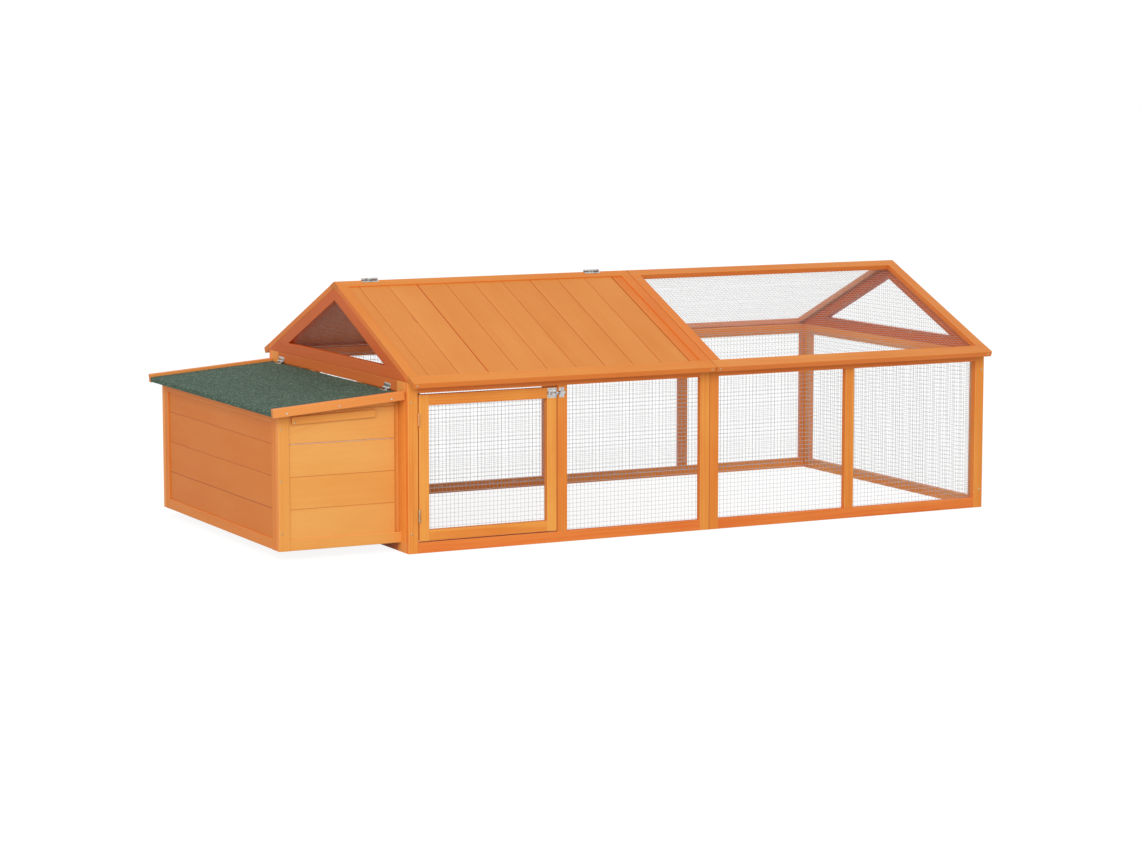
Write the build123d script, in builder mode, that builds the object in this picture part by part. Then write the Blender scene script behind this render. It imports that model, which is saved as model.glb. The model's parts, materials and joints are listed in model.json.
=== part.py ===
"""Rabbit hutch: a long gabled run of framed panels with a low nest box hung on its left end.

Millimetres. X runs along the hutch with the nest box at the low end, Y from front to back, Z up.
The origin is on the ground, in the middle of the hutch's outline.
"""
import os
from math import cos, radians, sin, tan

from build123d import *

# Run: two wall panels long, all in planed softwood stock
module_length = 1000.0
body_depth = 1075.0
wall_height = 500.0
stock_width = 32.0
stock_thick = 20.0

# Left end wall: wide stiles carry the nest box, and a doorway between jambs leads into it
nest_stile_width = 56.0
doorway_width = 330.0
partition_board_pitch = 93.5

# Welded wire netting stapled inside the frames; the solids carry every third or fourth wire
wire = 1.0
wire_pitch = 12.7
wall_wire_step = 3
roof_wire_step = 4
net_margin = 10.0

# Gables and roof
roof_pitch = 23.5
roof_thick = 18.0
roof_slope_length = 634.0
roof_seat = 1.5
roof_side_width = 33.0
ridge_rail_width = 34.0
eave_rail_width = 44.0
ridge_gap = 1.5
roof_joint_gap = 2.0
gable_rail_height = 34.0
rafter_width = 35.0
plank_pitch = 95.8
plank_joint = 0.8
plank_thick = 10.0
plank_recess = 4.0
least_plank = 20.0

# Door in the left half of the front
door_bottom_gap = 3.0
door_top_gap = 5.0
door_stock_width = 32.0

# Hinges: rolled steel leaves on loose pins
leaf_thick = 1.0
leaf_play = 1.0
knuckle_radius = 3.0
knuckle_gap = 0.4
pin_radius = 1.25
pin_fit = 0.05
pin_lift = 3.2
leaf_start = 4.0
door_hinge_length = 37.0
door_hinge_reach = 18.0
door_hinge_heights = (110.0, 391.0)
ridge_hinge_length = 54.0
ridge_hinge_reach = 15.0
ridge_hinge_places = (115.7, 874.5)
lid_hinge_length = 46.0
lid_hinge_reach = 14.0
lid_hinge_places = (143.0, 970.0)
lid_pin_off_wall = 3.5
lid_pin_over_felt = 6.0

# Barrel bolt at the top corner of the door
bolt_plate_height = 30.0
bolt_plate_inset = 1.0
bolt_plate_thick = 1.0
bolt_drop = 16.0
bolt_radius = 2.5
bolt_lift = 4.0
bolt_fit = 0.05
bolt_guide_width = 5.0
bolt_guide_height = 9.0
bolt_guide_top = 2.0
bolt_knob_radius = 2.0
bolt_knob_length = 12.0
bolt_tail_gap = 3.0
bolt_tip_gap = 1.0
keeper_gap = 7.5
keeper_length = 16.5
keeper_eye_play = 0.8

# Nest box
nest_length = 380.0
nest_setback = 53.0
nest_clearance = 28.0
nest_post_width = 34.0
nest_rail_height = 32.0
nest_top_rail_height = 27.0
board_pitch = 93.5
board_top = 146.5
board_joint = 0.8
board_thick = 10.0
board_recess = 4.0
batten_width = 38.0
batten_cover = 20.0
batten_thick = 20.0
floor_thick = 9.0
grip_length = 259.0
grip_height = 22.0
grip_thick = 8.0
grip_inset = 41.0
grip_centre_height = 407.0
grip_tilt = 1.8

# Nest box lid
lid_slope = 4.4
lid_high_edge = 475.3
lid_end_overhang = 30.0
lid_side_inset = 14.0
lid_wall_gap = 4.0
lid_rest_gap = 0.5
lid_trim_height = 26.0
lid_trim_thick = 16.0
felt_drop = 8.5
felt_thick = 3.0
lid_board_thick = 12.0

# Screws and nails
screw_head_radius = 3.6
screw_head_height = 1.2
screw_shank_radius = 1.6
screw_length = 36.0
screw_edge = 10.5
screw_end = 58.0
nest_screw_edge = 9.0
nest_screw_low = 52.0
nest_screw_high = 42.0
nail_head_radius = 2.8
nail_head_height = 0.9
nail_shank_radius = 1.1
nail_length = 14.0
nail_spacing = 162.0

# Places worked out from the sizes above
overall_length = 2 * module_length + nest_length + lid_end_overhang
x_right = overall_length / 2
x_left = x_right - 2 * module_length
x_middle = x_left + module_length
x_nest = x_left - nest_length
y_front = -body_depth / 2
y_back = body_depth / 2
slope_sin = sin(radians(roof_pitch))
slope_cos = cos(radians(roof_pitch))
roof_underside = wall_height + roof_seat
ridge_height = roof_underside + y_back * tan(radians(roof_pitch)) + roof_thick / slope_cos
door_side_gap = 2 * leaf_thick + leaf_play
pieces = {}


def bar(x_span, y_span, z_span):
    """One straight, square-cut bar between its low and high limits on each axis."""
    spans = (x_span, y_span, z_span)
    with Locations(tuple((low + high) / 2 for low, high in spans)):
        Box(*(high - low for low, high in spans))


def net(plane, width, height, step):
    """A flat sheet of welded netting, centred on a plane and one wire thick along its normal."""
    pitch = wire_pitch * step
    columns = int((width - wire) / pitch)
    rows = int((height - wire) / pitch)
    with BuildPart() as sheet:
        with BuildSketch(plane):
            Rectangle(width, height)
            with GridLocations(pitch, pitch, columns, rows):
                Rectangle(pitch - wire, pitch - wire, mode=Mode.SUBTRACT)
        extrude(amount=wire)
    return sheet


# Long walls: stiles run to the ground, rails and mullion fit between them, netting lies inside
mullion_offset = module_length / 2
walls = {
    "front_left": (x_left, -1),
    "front_right": (x_middle, -1),
    "back_left": (x_left, 1),
    "back_right": (x_middle, 1),
}
for wall, (x_start, side) in walls.items():
    y_span = (y_front, y_front + stock_thick) if side < 0 else (y_back - stock_thick, y_back)
    x_end = x_start + module_length
    x_mullion = x_start + mullion_offset
    field = (x_start + stock_width, x_end - stock_width)
    rail_top = wall_height - stock_width

    with BuildPart() as stiles:
        bar((x_start, field[0]), y_span, (0, wall_height))
        bar((x_mullion - stock_width / 2, x_mullion + stock_width / 2), y_span, (stock_width, rail_top))
        bar((field[1], x_end), y_span, (0, wall_height))
    pieces[f"{wall}_stiles"] = stiles

    with BuildPart() as rails:
        bar(field, y_span, (0, stock_width))
        bar(field, y_span, (rail_top, wall_height))
    pieces[f"{wall}_rails"] = rails

    net_start = x_mullion + stock_width / 2 if wall == "front_left" else field[0]
    net_plane = Plane(
        origin=((net_start + field[1]) / 2, side * (y_back - stock_thick), wall_height / 2),
        x_dir=(1, 0, 0),
        z_dir=(0, -side, 0),
    )
    net_width = field[1] - net_start + 2 * net_margin
    net_height = rail_top - stock_width + 2 * net_margin
    pieces[f"{wall}_mesh"] = net(net_plane, net_width, net_height, wall_wire_step)

# End walls stand between the long walls: the right one is netted all over
end_span = (y_front + stock_thick, y_back - stock_thick)
end_rail_top = wall_height - stock_width
ends = {
    "left_end": ((x_left, x_left + stock_thick), nest_stile_width),
    "right_end": ((x_right - stock_thick, x_right), stock_width),
}
jamb_span = (doorway_width / 2, doorway_width / 2 + stock_width)
for end, (x_span, stile_width) in ends.items():
    field = (end_span[0] + stile_width, end_span[1] - stile_width)
    with BuildPart() as stiles:
        bar(x_span, (end_span[0], field[0]), (0, wall_height))
        bar(x_span, (field[1], end_span[1]), (0, wall_height))
        if end == "left_end":
            bar(x_span, (-jamb_span[1], -jamb_span[0]), (stock_width, end_rail_top))
            bar(x_span, jamb_span, (stock_width, end_rail_top))
    pieces[f"{end}_stiles"] = stiles

    with BuildPart() as rails:
        bar(x_span, field, (0, stock_width))
        bar(x_span, field, (end_rail_top, wall_height))
    pieces[f"{end}_rails"] = rails

# The left one is boarded on each side of the doorway
partition_x = (x_left + board_recess, x_left + board_recess + board_thick)
partition_y = (jamb_span[1], end_span[1] - nest_stile_width)
partition_count = int((end_rail_top - stock_width) / partition_board_pitch)
partition_joints = [
    stock_width + index * partition_board_pitch for index in range(1, partition_count + 1)
]
partition_feet = [stock_width] + [joint + board_joint / 2 for joint in partition_joints]
partition_heads = [joint - board_joint / 2 for joint in partition_joints] + [end_rail_top]
with BuildPart() as left_end_boards:
    for foot, head in zip(partition_feet, partition_heads):
        bar(partition_x, (-partition_y[1], -partition_y[0]), (foot, head))
        bar(partition_x, partition_y, (foot, head))
pieces["left_end_boards"] = left_end_boards

end_net_plane = Plane(
    origin=(x_right - stock_thick, 0, wall_height / 2), x_dir=(0, 1, 0), z_dir=(-1, 0, 0)
)
end_net_width = end_span[1] - end_span[0] - 2 * stock_width + 2 * net_margin
end_net_height = wall_height - 2 * stock_width + 2 * net_margin
pieces["right_end_mesh"] = net(end_net_plane, end_net_width, end_net_height, wall_wire_step)


def slope_point(side, down, depth):
    """Y and Z of a point so far down a roof slope from the ridge and so deep below its top."""
    return (
        side * (down * slope_cos - depth * slope_sin),
        ridge_height - down * slope_sin - depth * slope_cos,
    )


def slope_at_height(side, height, depth):
    """Where a line at one depth below the roof's top comes down to a height."""
    down = (ridge_height - height - depth * slope_cos) / slope_sin
    return slope_point(side, down, depth)


def slope_at_ridge(side, depth):
    """Where a line at one depth below the roof's top meets the plumb cut at the ridge."""
    return slope_point(side, (ridge_gap / 2 + depth * slope_sin) / slope_cos, depth)


# Gables: a tie rail on the end wall and two rafters over it, plumb cut at the ridge
gable_top = roof_thick
gable_rail_top = wall_height + gable_rail_height
rafter_inside = gable_top + rafter_width
gable_starts = (x_left, x_right - stock_thick)
shoulder = ridge_height - gable_top / slope_cos - y_back * tan(radians(roof_pitch))

with BuildPart() as gable_rails:
    for x_start in gable_starts:
        with BuildSketch(Plane.YZ.offset(x_start)):
            Polygon(
                (y_front, wall_height),
                (y_back, wall_height),
                (y_back, shoulder),
                slope_at_height(1, gable_rail_top, gable_top),
                slope_at_height(-1, gable_rail_top, gable_top),
                (y_front, shoulder),
                align=None,
            )
        extrude(amount=stock_thick)
pieces["gable_rails"] = gable_rails

with BuildPart() as gable_rafters:
    for x_start in gable_starts:
        with BuildSketch(Plane.YZ.offset(x_start)):
            for side in (-1, 1):
                Polygon(
                    slope_at_height(side, gable_rail_top, gable_top),
                    slope_at_height(side, gable_rail_top, rafter_inside),
                    slope_at_ridge(side, rafter_inside),
                    slope_at_ridge(side, gable_top),
                    align=None,
                )
        extrude(amount=stock_thick)
pieces["gable_rafters"] = gable_rafters

# Gable netting: a triangle that laps the frame, with a row of squares for each wire it carries
gable_net_depth = rafter_inside - net_margin
gable_net_foot = gable_rail_top - net_margin
gable_net_half = slope_at_height(1, gable_net_foot, gable_net_depth)[0]
gable_net_apex = ridge_height - gable_net_depth / slope_cos
gable_pitch = wire_pitch * wall_wire_step
gable_squares = []
gable_rows = int((gable_net_apex - gable_net_foot - wire) / gable_pitch)
for row in range(gable_rows):
    row_middle = gable_net_foot + wire + (row + 0.5) * gable_pitch
    row_top = row_middle + gable_pitch / 2 + wire
    half_room = (gable_net_apex - row_top) / tan(radians(roof_pitch)) - wire
    half_count = int(half_room / gable_pitch)
    gable_squares += [
        ((column + 0.5) * gable_pitch, row_middle) for column in range(-half_count, half_count)
    ]

with BuildPart() as gable_mesh:
    for x_start in (x_left + stock_thick, x_right - stock_thick - wire):
        with BuildSketch(Plane.YZ.offset(x_start)):
            Polygon(
                (-gable_net_half, gable_net_foot),
                (gable_net_half, gable_net_foot),
                (0, gable_net_apex),
                align=None,
            )
            with Locations(*gable_squares):
                Rectangle(gable_pitch - wire, gable_pitch - wire, mode=Mode.SUBTRACT)
        extrude(amount=wire)
pieces["gable_mesh"] = gable_mesh

# Roof panels: eave and ridge rails run right across, side trims fit between them.
# The left pair is planked, and its front panel lifts; the right pair is netted and fixed.
eave_start = roof_slope_length - eave_rail_width
roofs = {
    "front_roof": (-1, x_left, x_middle - roof_joint_gap / 2),
    "back_roof": (1, x_left, x_middle - roof_joint_gap / 2),
    "front_run_roof": (-1, x_middle + roof_joint_gap / 2, x_right),
    "back_run_roof": (1, x_middle + roof_joint_gap / 2, x_right),
}
slopes = {
    side: Plane(origin=(0, 0, ridge_height), x_dir=(1, 0, 0), z_dir=(0, side * slope_sin, slope_cos))
    for side in (-1, 1)
}
for roof, (side, x_start, x_end) in roofs.items():
    slope = slopes[side]
    field = (x_start + roof_side_width, x_end - roof_side_width)
    fall = sorted((side * ridge_rail_width, side * eave_start))

    with BuildPart() as rails:
        with BuildSketch(Plane.YZ.offset(x_start)):
            Polygon(
                slope_at_ridge(side, 0),
                slope_at_ridge(side, roof_thick),
                slope_point(side, ridge_rail_width, roof_thick),
                slope_point(side, ridge_rail_width, 0),
                align=None,
            )
            Polygon(
                slope_point(side, eave_start, 0),
                slope_point(side, eave_start, roof_thick),
                slope_point(side, roof_slope_length, roof_thick),
                slope_point(side, roof_slope_length, 0),
                align=None,
            )
        extrude(amount=x_end - x_start)
    pieces[f"{roof}_rails"] = rails

    with BuildPart(slope) as sides:
        bar((x_start, field[0]), fall, (-roof_thick, 0))
        bar((field[1], x_end), fall, (-roof_thick, 0))
    pieces[f"{roof}_sides"] = sides

    if "run" in roof:
        net_plane = Plane(
            origin=slope.from_local_coords(
                ((field[0] + field[1]) / 2, (fall[0] + fall[1]) / 2, -roof_thick)
            ),
            x_dir=(1, 0, 0),
            z_dir=-slope.z_dir,
        )
        net_width = field[1] - field[0] + 2 * net_margin
        net_height = fall[1] - fall[0] + 2 * net_margin
        pieces[f"{roof}_mesh"] = net(net_plane, net_width, net_height, roof_wire_step)
    else:
        plank_count = int((field[1] - field[0] - 2 * least_plank) / plank_pitch)
        first_joint = (field[0] + field[1] - plank_count * plank_pitch) / 2
        joints = [first_joint + index * plank_pitch for index in range(plank_count + 1)]
        starts = [field[0]] + [joint + plank_joint / 2 for joint in joints]
        finishes = [joint - plank_joint / 2 for joint in joints] + [field[1]]
        with BuildPart(slope) as planks:
            for plank_start, plank_end in zip(starts, finishes):
                bar((plank_start, plank_end), fall, (-plank_recess - plank_thick, -plank_recess))
        pieces[f"{roof}_planks"] = planks

# Door: four bars and its own netting, flush in the left half of the front
door_left = x_left + stock_width + door_side_gap
door_right = x_left + mullion_offset - stock_width / 2 - door_side_gap
door_bottom = stock_width + door_bottom_gap
door_top = wall_height - stock_width - door_top_gap
door_y = (y_front, y_front + stock_thick)
door_field = (door_left + door_stock_width, door_right - door_stock_width)
with BuildPart() as door_stiles:
    bar((door_left, door_field[0]), door_y, (door_bottom, door_top))
    bar((door_field[1], door_right), door_y, (door_bottom, door_top))
pieces["door_stiles"] = door_stiles

with BuildPart() as door_rails:
    bar(door_field, door_y, (door_bottom, door_bottom + door_stock_width))
    bar(door_field, door_y, (door_top - door_stock_width, door_top))
pieces["door_rails"] = door_rails

door_net_plane = Plane(
    origin=((door_left + door_right) / 2, y_front + stock_thick, (door_bottom + door_top) / 2),
    x_dir=(1, 0, 0),
    z_dir=(0, 1, 0),
)
door_net_width = door_field[1] - door_field[0] + 2 * net_margin
door_net_height = door_top - door_bottom - 2 * door_stock_width + 2 * net_margin
pieces["door_mesh"] = net(door_net_plane, door_net_width, door_net_height, wall_wire_step)


def hinge_leaf(place, length, reach, offset, fixed):
    """One leaf: a plate beside the pin, its necks and its knuckles, bored for the pin.

    The place has its Z along the pin and its X along the plate, offset in Y from the pin.
    The fixed leaf carries the two outer knuckles, the moving one the middle knuckle.
    A plate that lies clear below the knuckles is cranked down to it by a web.
    """
    plate_middle = offset + leaf_thick / 2
    span = length / 3 - knuckle_gap
    neck_start = knuckle_radius - leaf_thick if offset > knuckle_radius else 0
    with Locations(place * Pos((leaf_start + reach) / 2, plate_middle, 0)):
        Box(reach - leaf_start, leaf_thick, length)
    for height in (-length / 3, length / 3) if fixed else (0,):
        with Locations(place * Pos((neck_start + leaf_start) / 2, plate_middle, height)):
            Box(leaf_start - neck_start, leaf_thick, span)
        if offset > knuckle_radius:
            with Locations(place * Pos(knuckle_radius - leaf_thick / 2, plate_middle / 2, height)):
                Box(leaf_thick, plate_middle, span)
        with Locations(place * Pos(0, 0, height)):
            Cylinder(knuckle_radius, span)
    with Locations(place):
        Cylinder(pin_radius + pin_fit, length, mode=Mode.SUBTRACT)


# Door hinges: leaves stand in the gap at the post, knuckles show in front of it
door_pin_x = x_left + stock_width + door_side_gap / 2
door_pin_y = y_front - pin_lift
door_places = [
    Plane(origin=(door_pin_x, door_pin_y, height), x_dir=(0, 1, 0), z_dir=(0, 0, 1)).location
    for height in door_hinge_heights
]
leaf_offset = leaf_play / 2
with BuildPart() as door_hinge_post_leaves:
    for place in door_places:
        hinge_leaf(place, door_hinge_length, door_hinge_reach, leaf_offset, True)
pieces["door_hinge_post_leaves"] = door_hinge_post_leaves

with BuildPart() as door_hinge_door_leaves:
    for place in door_places:
        hinge_leaf(place, door_hinge_length, door_hinge_reach, -leaf_offset - leaf_thick, False)
pieces["door_hinge_door_leaves"] = door_hinge_door_leaves

# Ridge hinges: leaves lie on the two planked slopes, knuckles stand on the ridge
surface_offset = pin_lift - leaf_thick
ridge_pin_height = ridge_height + pin_lift / slope_cos
ridge_hinge_x = [x_left + distance for distance in ridge_hinge_places]
with BuildPart() as ridge_hinge_back_leaves:
    for x_place in ridge_hinge_x:
        place = Plane(
            origin=(x_place, 0, ridge_pin_height), x_dir=(0, slope_cos, -slope_sin), z_dir=(-1, 0, 0)
        ).location
        hinge_leaf(place, ridge_hinge_length, ridge_hinge_reach, surface_offset, True)
pieces["ridge_hinge_back_leaves"] = ridge_hinge_back_leaves

with BuildPart() as ridge_hinge_front_leaves:
    for x_place in ridge_hinge_x:
        place = Plane(
            origin=(x_place, 0, ridge_pin_height), x_dir=(0, -slope_cos, -slope_sin), z_dir=(1, 0, 0)
        ).location
        hinge_leaf(place, ridge_hinge_length, ridge_hinge_reach, surface_offset, False)
pieces["ridge_hinge_front_leaves"] = ridge_hinge_front_leaves

# Nest box lid: a felted board between two side trims, sloping down away from the run
lid_sin = sin(radians(lid_slope))
lid_cos = cos(radians(lid_slope))
lid_plane = Plane(
    origin=(x_left, 0, lid_high_edge), x_dir=(lid_cos, 0, lid_sin), z_dir=(-lid_sin, 0, lid_cos)
)
lid_low_edge = -(nest_length + lid_end_overhang) / lid_cos
lid_high_end = -lid_wall_gap
lid_front = y_front + lid_side_inset
lid_back = y_back - lid_side_inset
felt_base = felt_drop + felt_thick
lid_under = felt_base + lid_board_thick
lid_inside = (lid_front + lid_trim_thick, lid_back - lid_trim_thick)
with BuildPart(lid_plane) as lid_trims:
    bar((lid_low_edge, lid_high_end), (lid_front, lid_inside[0]), (-lid_trim_height, 0))
    bar((lid_low_edge, lid_high_end), (lid_inside[1], lid_back), (-lid_trim_height, 0))
pieces["lid_trims"] = lid_trims

with BuildPart(lid_plane) as lid_board:
    bar((lid_low_edge + felt_thick, lid_high_end), lid_inside, (-lid_under, -felt_base))
pieces["lid_board"] = lid_board

with BuildPart(lid_plane) as lid_felt:
    bar((lid_low_edge, lid_high_end), lid_inside, (-felt_base, -felt_drop))
    bar((lid_low_edge, lid_low_edge + felt_thick), lid_inside, (-lid_under, -felt_drop))
pieces["lid_felt"] = lid_felt

# Lid hinges: one leaf on the end wall's top rail, the other on the felt
lid_pin_x = x_left - lid_pin_off_wall
lid_pin_drop = (felt_drop - lid_pin_over_felt) / lid_cos
lid_pin_z = lid_high_edge - lid_pin_off_wall * tan(radians(lid_slope)) - lid_pin_drop
lid_hinge_y = [y_front + distance for distance in lid_hinge_places]
with BuildPart() as lid_hinge_wall_leaves:
    for y_place in lid_hinge_y:
        place = Plane(origin=(lid_pin_x, y_place, lid_pin_z), x_dir=(0, 0, 1), z_dir=(0, 1, 0)).location
        hinge_leaf(place, lid_hinge_length, lid_hinge_reach, lid_pin_off_wall - leaf_thick, True)
pieces["lid_hinge_wall_leaves"] = lid_hinge_wall_leaves

with BuildPart() as lid_hinge_lid_leaves:
    for y_place in lid_hinge_y:
        place = Plane(
            origin=(lid_pin_x, y_place, lid_pin_z), x_dir=(-lid_cos, 0, -lid_sin), z_dir=(0, -1, 0)
        ).location
        hinge_leaf(place, lid_hinge_length, lid_hinge_reach, lid_pin_over_felt - leaf_thick, False)
pieces["lid_hinge_lid_leaves"] = lid_hinge_lid_leaves

# Loose pins through all six hinges
with BuildPart() as hinge_pins:
    with Locations(*door_places):
        Cylinder(pin_radius, door_hinge_length)
    for x_place in ridge_hinge_x:
        with Locations(Location((x_place, 0, ridge_pin_height), (0, 90, 0))):
            Cylinder(pin_radius, ridge_hinge_length)
    for y_place in lid_hinge_y:
        with Locations(Location((lid_pin_x, y_place, lid_pin_z), (90, 0, 0))):
            Cylinder(pin_radius, lid_hinge_length)
pieces["hinge_pins"] = hinge_pins

# Barrel bolt: a plate with two guides on the door, a round rod with a knob, a keeper on the mullion
bolt_axis_y = y_front - bolt_plate_thick - bolt_lift
bolt_axis_z = door_top - bolt_drop
plate_right = door_right - bolt_plate_inset
plate_left = door_field[1] + bolt_plate_inset
bolt_plate_z = (bolt_axis_z - bolt_plate_height / 2, bolt_axis_z + bolt_plate_height / 2)
guide_z = (bolt_axis_z - bolt_guide_height / 2, bolt_axis_z + bolt_guide_height / 2)
guide_y = (bolt_axis_y - bolt_radius - bolt_guide_top, y_front)
plate_y = (y_front - bolt_plate_thick, y_front)
with BuildPart() as bolt_plate:
    bar((plate_left, plate_right), plate_y, bolt_plate_z)
    bar((plate_left, plate_left + bolt_guide_width), guide_y, guide_z)
    bar((plate_right - bolt_guide_width, plate_right), guide_y, guide_z)
    with Locations(Location(((plate_left + plate_right) / 2, bolt_axis_y, bolt_axis_z), (0, 90, 0))):
        Cylinder(bolt_radius + bolt_fit, plate_right - plate_left, mode=Mode.SUBTRACT)
pieces["bolt_plate"] = bolt_plate

keeper_left = door_right + keeper_gap
keeper_right = keeper_left + keeper_length
bolt_tip = keeper_left - bolt_tip_gap
bolt_knob_x = plate_left + bolt_guide_width + bolt_knob_radius + leaf_play
bolt_tail = plate_left - bolt_tail_gap
with BuildPart() as bolt_rod:
    with Locations(Location(((bolt_tail + bolt_tip) / 2, bolt_axis_y, bolt_axis_z), (0, 90, 0))):
        Cylinder(bolt_radius, bolt_tip - bolt_tail)
    with Locations(Location((bolt_knob_x, bolt_axis_y, bolt_axis_z), (-45, 0, 0))):
        Cylinder(bolt_knob_radius, bolt_knob_length, align=(Align.CENTER, Align.CENTER, Align.MAX))
pieces["bolt_rod"] = bolt_rod

eye_half = bolt_radius + keeper_eye_play
with BuildPart() as bolt_keeper:
    bar((keeper_left, keeper_right), plate_y, bolt_plate_z)
    bar((keeper_left, keeper_right), guide_y, guide_z)
    with Locations(((keeper_left + keeper_right) / 2, bolt_axis_y, bolt_axis_z)):
        Box(keeper_length, 2 * eye_half, 2 * eye_half, mode=Mode.SUBTRACT)
pieces["bolt_keeper"] = bolt_keeper

# Nest box: framed end wall, boarded sides, a floor let in between the bottom rails
nest_front = y_front + nest_setback
nest_back = y_back - nest_setback
nest_rail_top = nest_clearance + nest_rail_height
nest_inside = (nest_front + stock_thick, nest_back - stock_thick)


def lid_seat(x_place):
    """Height of a wall top under the lid."""
    fall = (x_place - x_left) * tan(radians(lid_slope))
    return lid_high_edge + fall - (lid_under + lid_rest_gap) / lid_cos


nest_end_top = lid_seat(x_nest)
nest_end_x = (x_nest, x_nest + stock_thick)
nest_end_field = (nest_inside[0] + stock_width, nest_inside[1] - stock_width)
top_rail_foot = nest_end_top - nest_top_rail_height
with BuildPart() as nest_end_stiles:
    bar(nest_end_x, (nest_inside[0], nest_end_field[0]), (nest_clearance, nest_end_top))
    bar(nest_end_x, (nest_end_field[1], nest_inside[1]), (nest_clearance, nest_end_top))
pieces["nest_end_stiles"] = nest_end_stiles

with BuildPart() as nest_end_rails:
    bar(nest_end_x, nest_end_field, (nest_clearance, nest_rail_top))
    bar(nest_end_x, nest_end_field, (top_rail_foot, nest_end_top))
pieces["nest_end_rails"] = nest_end_rails

# Boards lie between the bottom rail and the top, all one cover width but the first and last
board_count = int((top_rail_foot - board_top) / board_pitch)
board_joints = [board_top + index * board_pitch for index in range(board_count + 1)]
board_feet = [nest_rail_top] + [joint + board_joint / 2 for joint in board_joints]
board_heads = [joint - board_joint / 2 for joint in board_joints]
end_board_x = (x_nest + board_recess, x_nest + board_recess + board_thick)
with BuildPart() as nest_end_boards:
    for foot, head in zip(board_feet, board_heads + [top_rail_foot]):
        bar(end_board_x, nest_end_field, (foot, head))
pieces["nest_end_boards"] = nest_end_boards

batten_x = (x_left - batten_width, x_left)
post_x = (x_nest, x_nest + nest_post_width)
board_x = (post_x[1], x_left - batten_width + batten_cover)
with BuildPart() as nest_side_posts:
    for side in (-1, 1):
        outside = side * nest_back
        post_y = sorted((outside, outside - side * stock_thick))
        bar(post_x, post_y, (nest_clearance, nest_end_top))
        batten_face = outside - side * (board_recess + board_thick)
        batten_y = sorted((batten_face, batten_face - side * batten_thick))
        bar(batten_x, batten_y, (nest_rail_top, lid_seat(batten_x[0])))
pieces["nest_side_posts"] = nest_side_posts

with BuildPart() as nest_side_rails:
    for side in (-1, 1):
        rail_y = sorted((side * nest_back, side * (nest_back - stock_thick)))
        bar((post_x[1], x_left), rail_y, (nest_clearance, nest_rail_top))
pieces["nest_side_rails"] = nest_side_rails

for name, side in {"nest_front_boards": -1, "nest_back_boards": 1}.items():
    board_face = side * (nest_back - board_recess)
    board_y = sorted((board_face, board_face - side * board_thick))
    with BuildPart() as boards:
        for foot, head in zip(board_feet, board_heads):
            bar(board_x, board_y, (foot, head))
        with BuildSketch(Plane.ZX.offset(board_y[0])):
            Polygon(
                (board_feet[-1], board_x[0]),
                (board_feet[-1], board_x[1]),
                (lid_seat(board_x[1]), board_x[1]),
                (lid_seat(board_x[0]), board_x[0]),
                align=None,
            )
        extrude(amount=board_thick)
    pieces[name] = boards

with BuildPart() as nest_floor:
    bar((nest_end_x[1], x_left), nest_inside, (nest_rail_top - floor_thick, nest_rail_top))
pieces["nest_floor"] = nest_floor

grip_face = nest_front + board_recess
grip_middle = (x_nest + grip_inset + grip_length / 2, grip_face - grip_thick / 2)
with BuildPart() as nest_grip_batten:
    with Locations(Location((*grip_middle, grip_centre_height), (0, -grip_tilt, 0))):
        Box(grip_length, grip_thick, grip_height)
pieces["nest_grip_batten"] = nest_grip_batten


def fastener(place, head_radius, head_height, shank_radius, length):
    """A driven fastener: its head stands on the wood, its shank runs down the place's Z."""
    with Locations(place):
        Cylinder(head_radius, head_height, align=(Align.CENTER, Align.CENTER, Align.MIN))
        Cylinder(shank_radius, length, align=(Align.CENTER, Align.CENTER, Align.MAX))


# Screws join the long walls to the end walls and the nest box sides to its end
corner_x = (x_left + screw_edge, x_right - screw_edge)
corner_z = (screw_end, wall_height - screw_end)
nest_screw_z = (nest_clearance + nest_screw_low, nest_end_top - nest_screw_high)
nest_screw_heights = (nest_screw_z[0], (nest_screw_z[0] + nest_screw_z[1]) / 2, nest_screw_z[1])
screw = (screw_head_radius, screw_head_height, screw_shank_radius, screw_length)
with BuildPart() as panel_screws:
    for side in (-1, 1):
        for x_place in corner_x:
            for height in corner_z:
                head = (x_place, side * y_back, height)
                fastener(Plane(origin=head, z_dir=(0, side, 0)).location, *screw)
        for height in nest_screw_heights:
            head = (x_nest + nest_screw_edge, side * nest_back, height)
            fastener(Plane(origin=head, z_dir=(0, side, 0)).location, *screw)
pieces["panel_screws"] = panel_screws

# Nails hold the lid trims to the edges of the lid board
nail = (nail_head_radius, nail_head_height, nail_shank_radius, nail_length + lid_trim_thick)
nail_depth = -(felt_base + lid_board_thick / 2)
nail_middle = (lid_low_edge + lid_high_end) / 2
with BuildPart() as lid_nails:
    for side in (-1, 1):
        for index in (-1, 0, 1):
            nail_x = nail_middle + index * nail_spacing
            head = lid_plane.from_local_coords((nail_x, side * lid_back, nail_depth))
            fastener(Plane(origin=head, z_dir=(0, side, 0)).location, *nail)
pieces["lid_nails"] = lid_nails

os.makedirs("parts", exist_ok=True)
for name, piece in pieces.items():
    piece.part.label = name
    export_step(piece.part, f"parts/{name}.step")
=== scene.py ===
import itertools
import json
import random
from math import cos, floor, pi, radians, sin, tan

import bmesh
import bpy
from mathutils import Matrix, Vector


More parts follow.
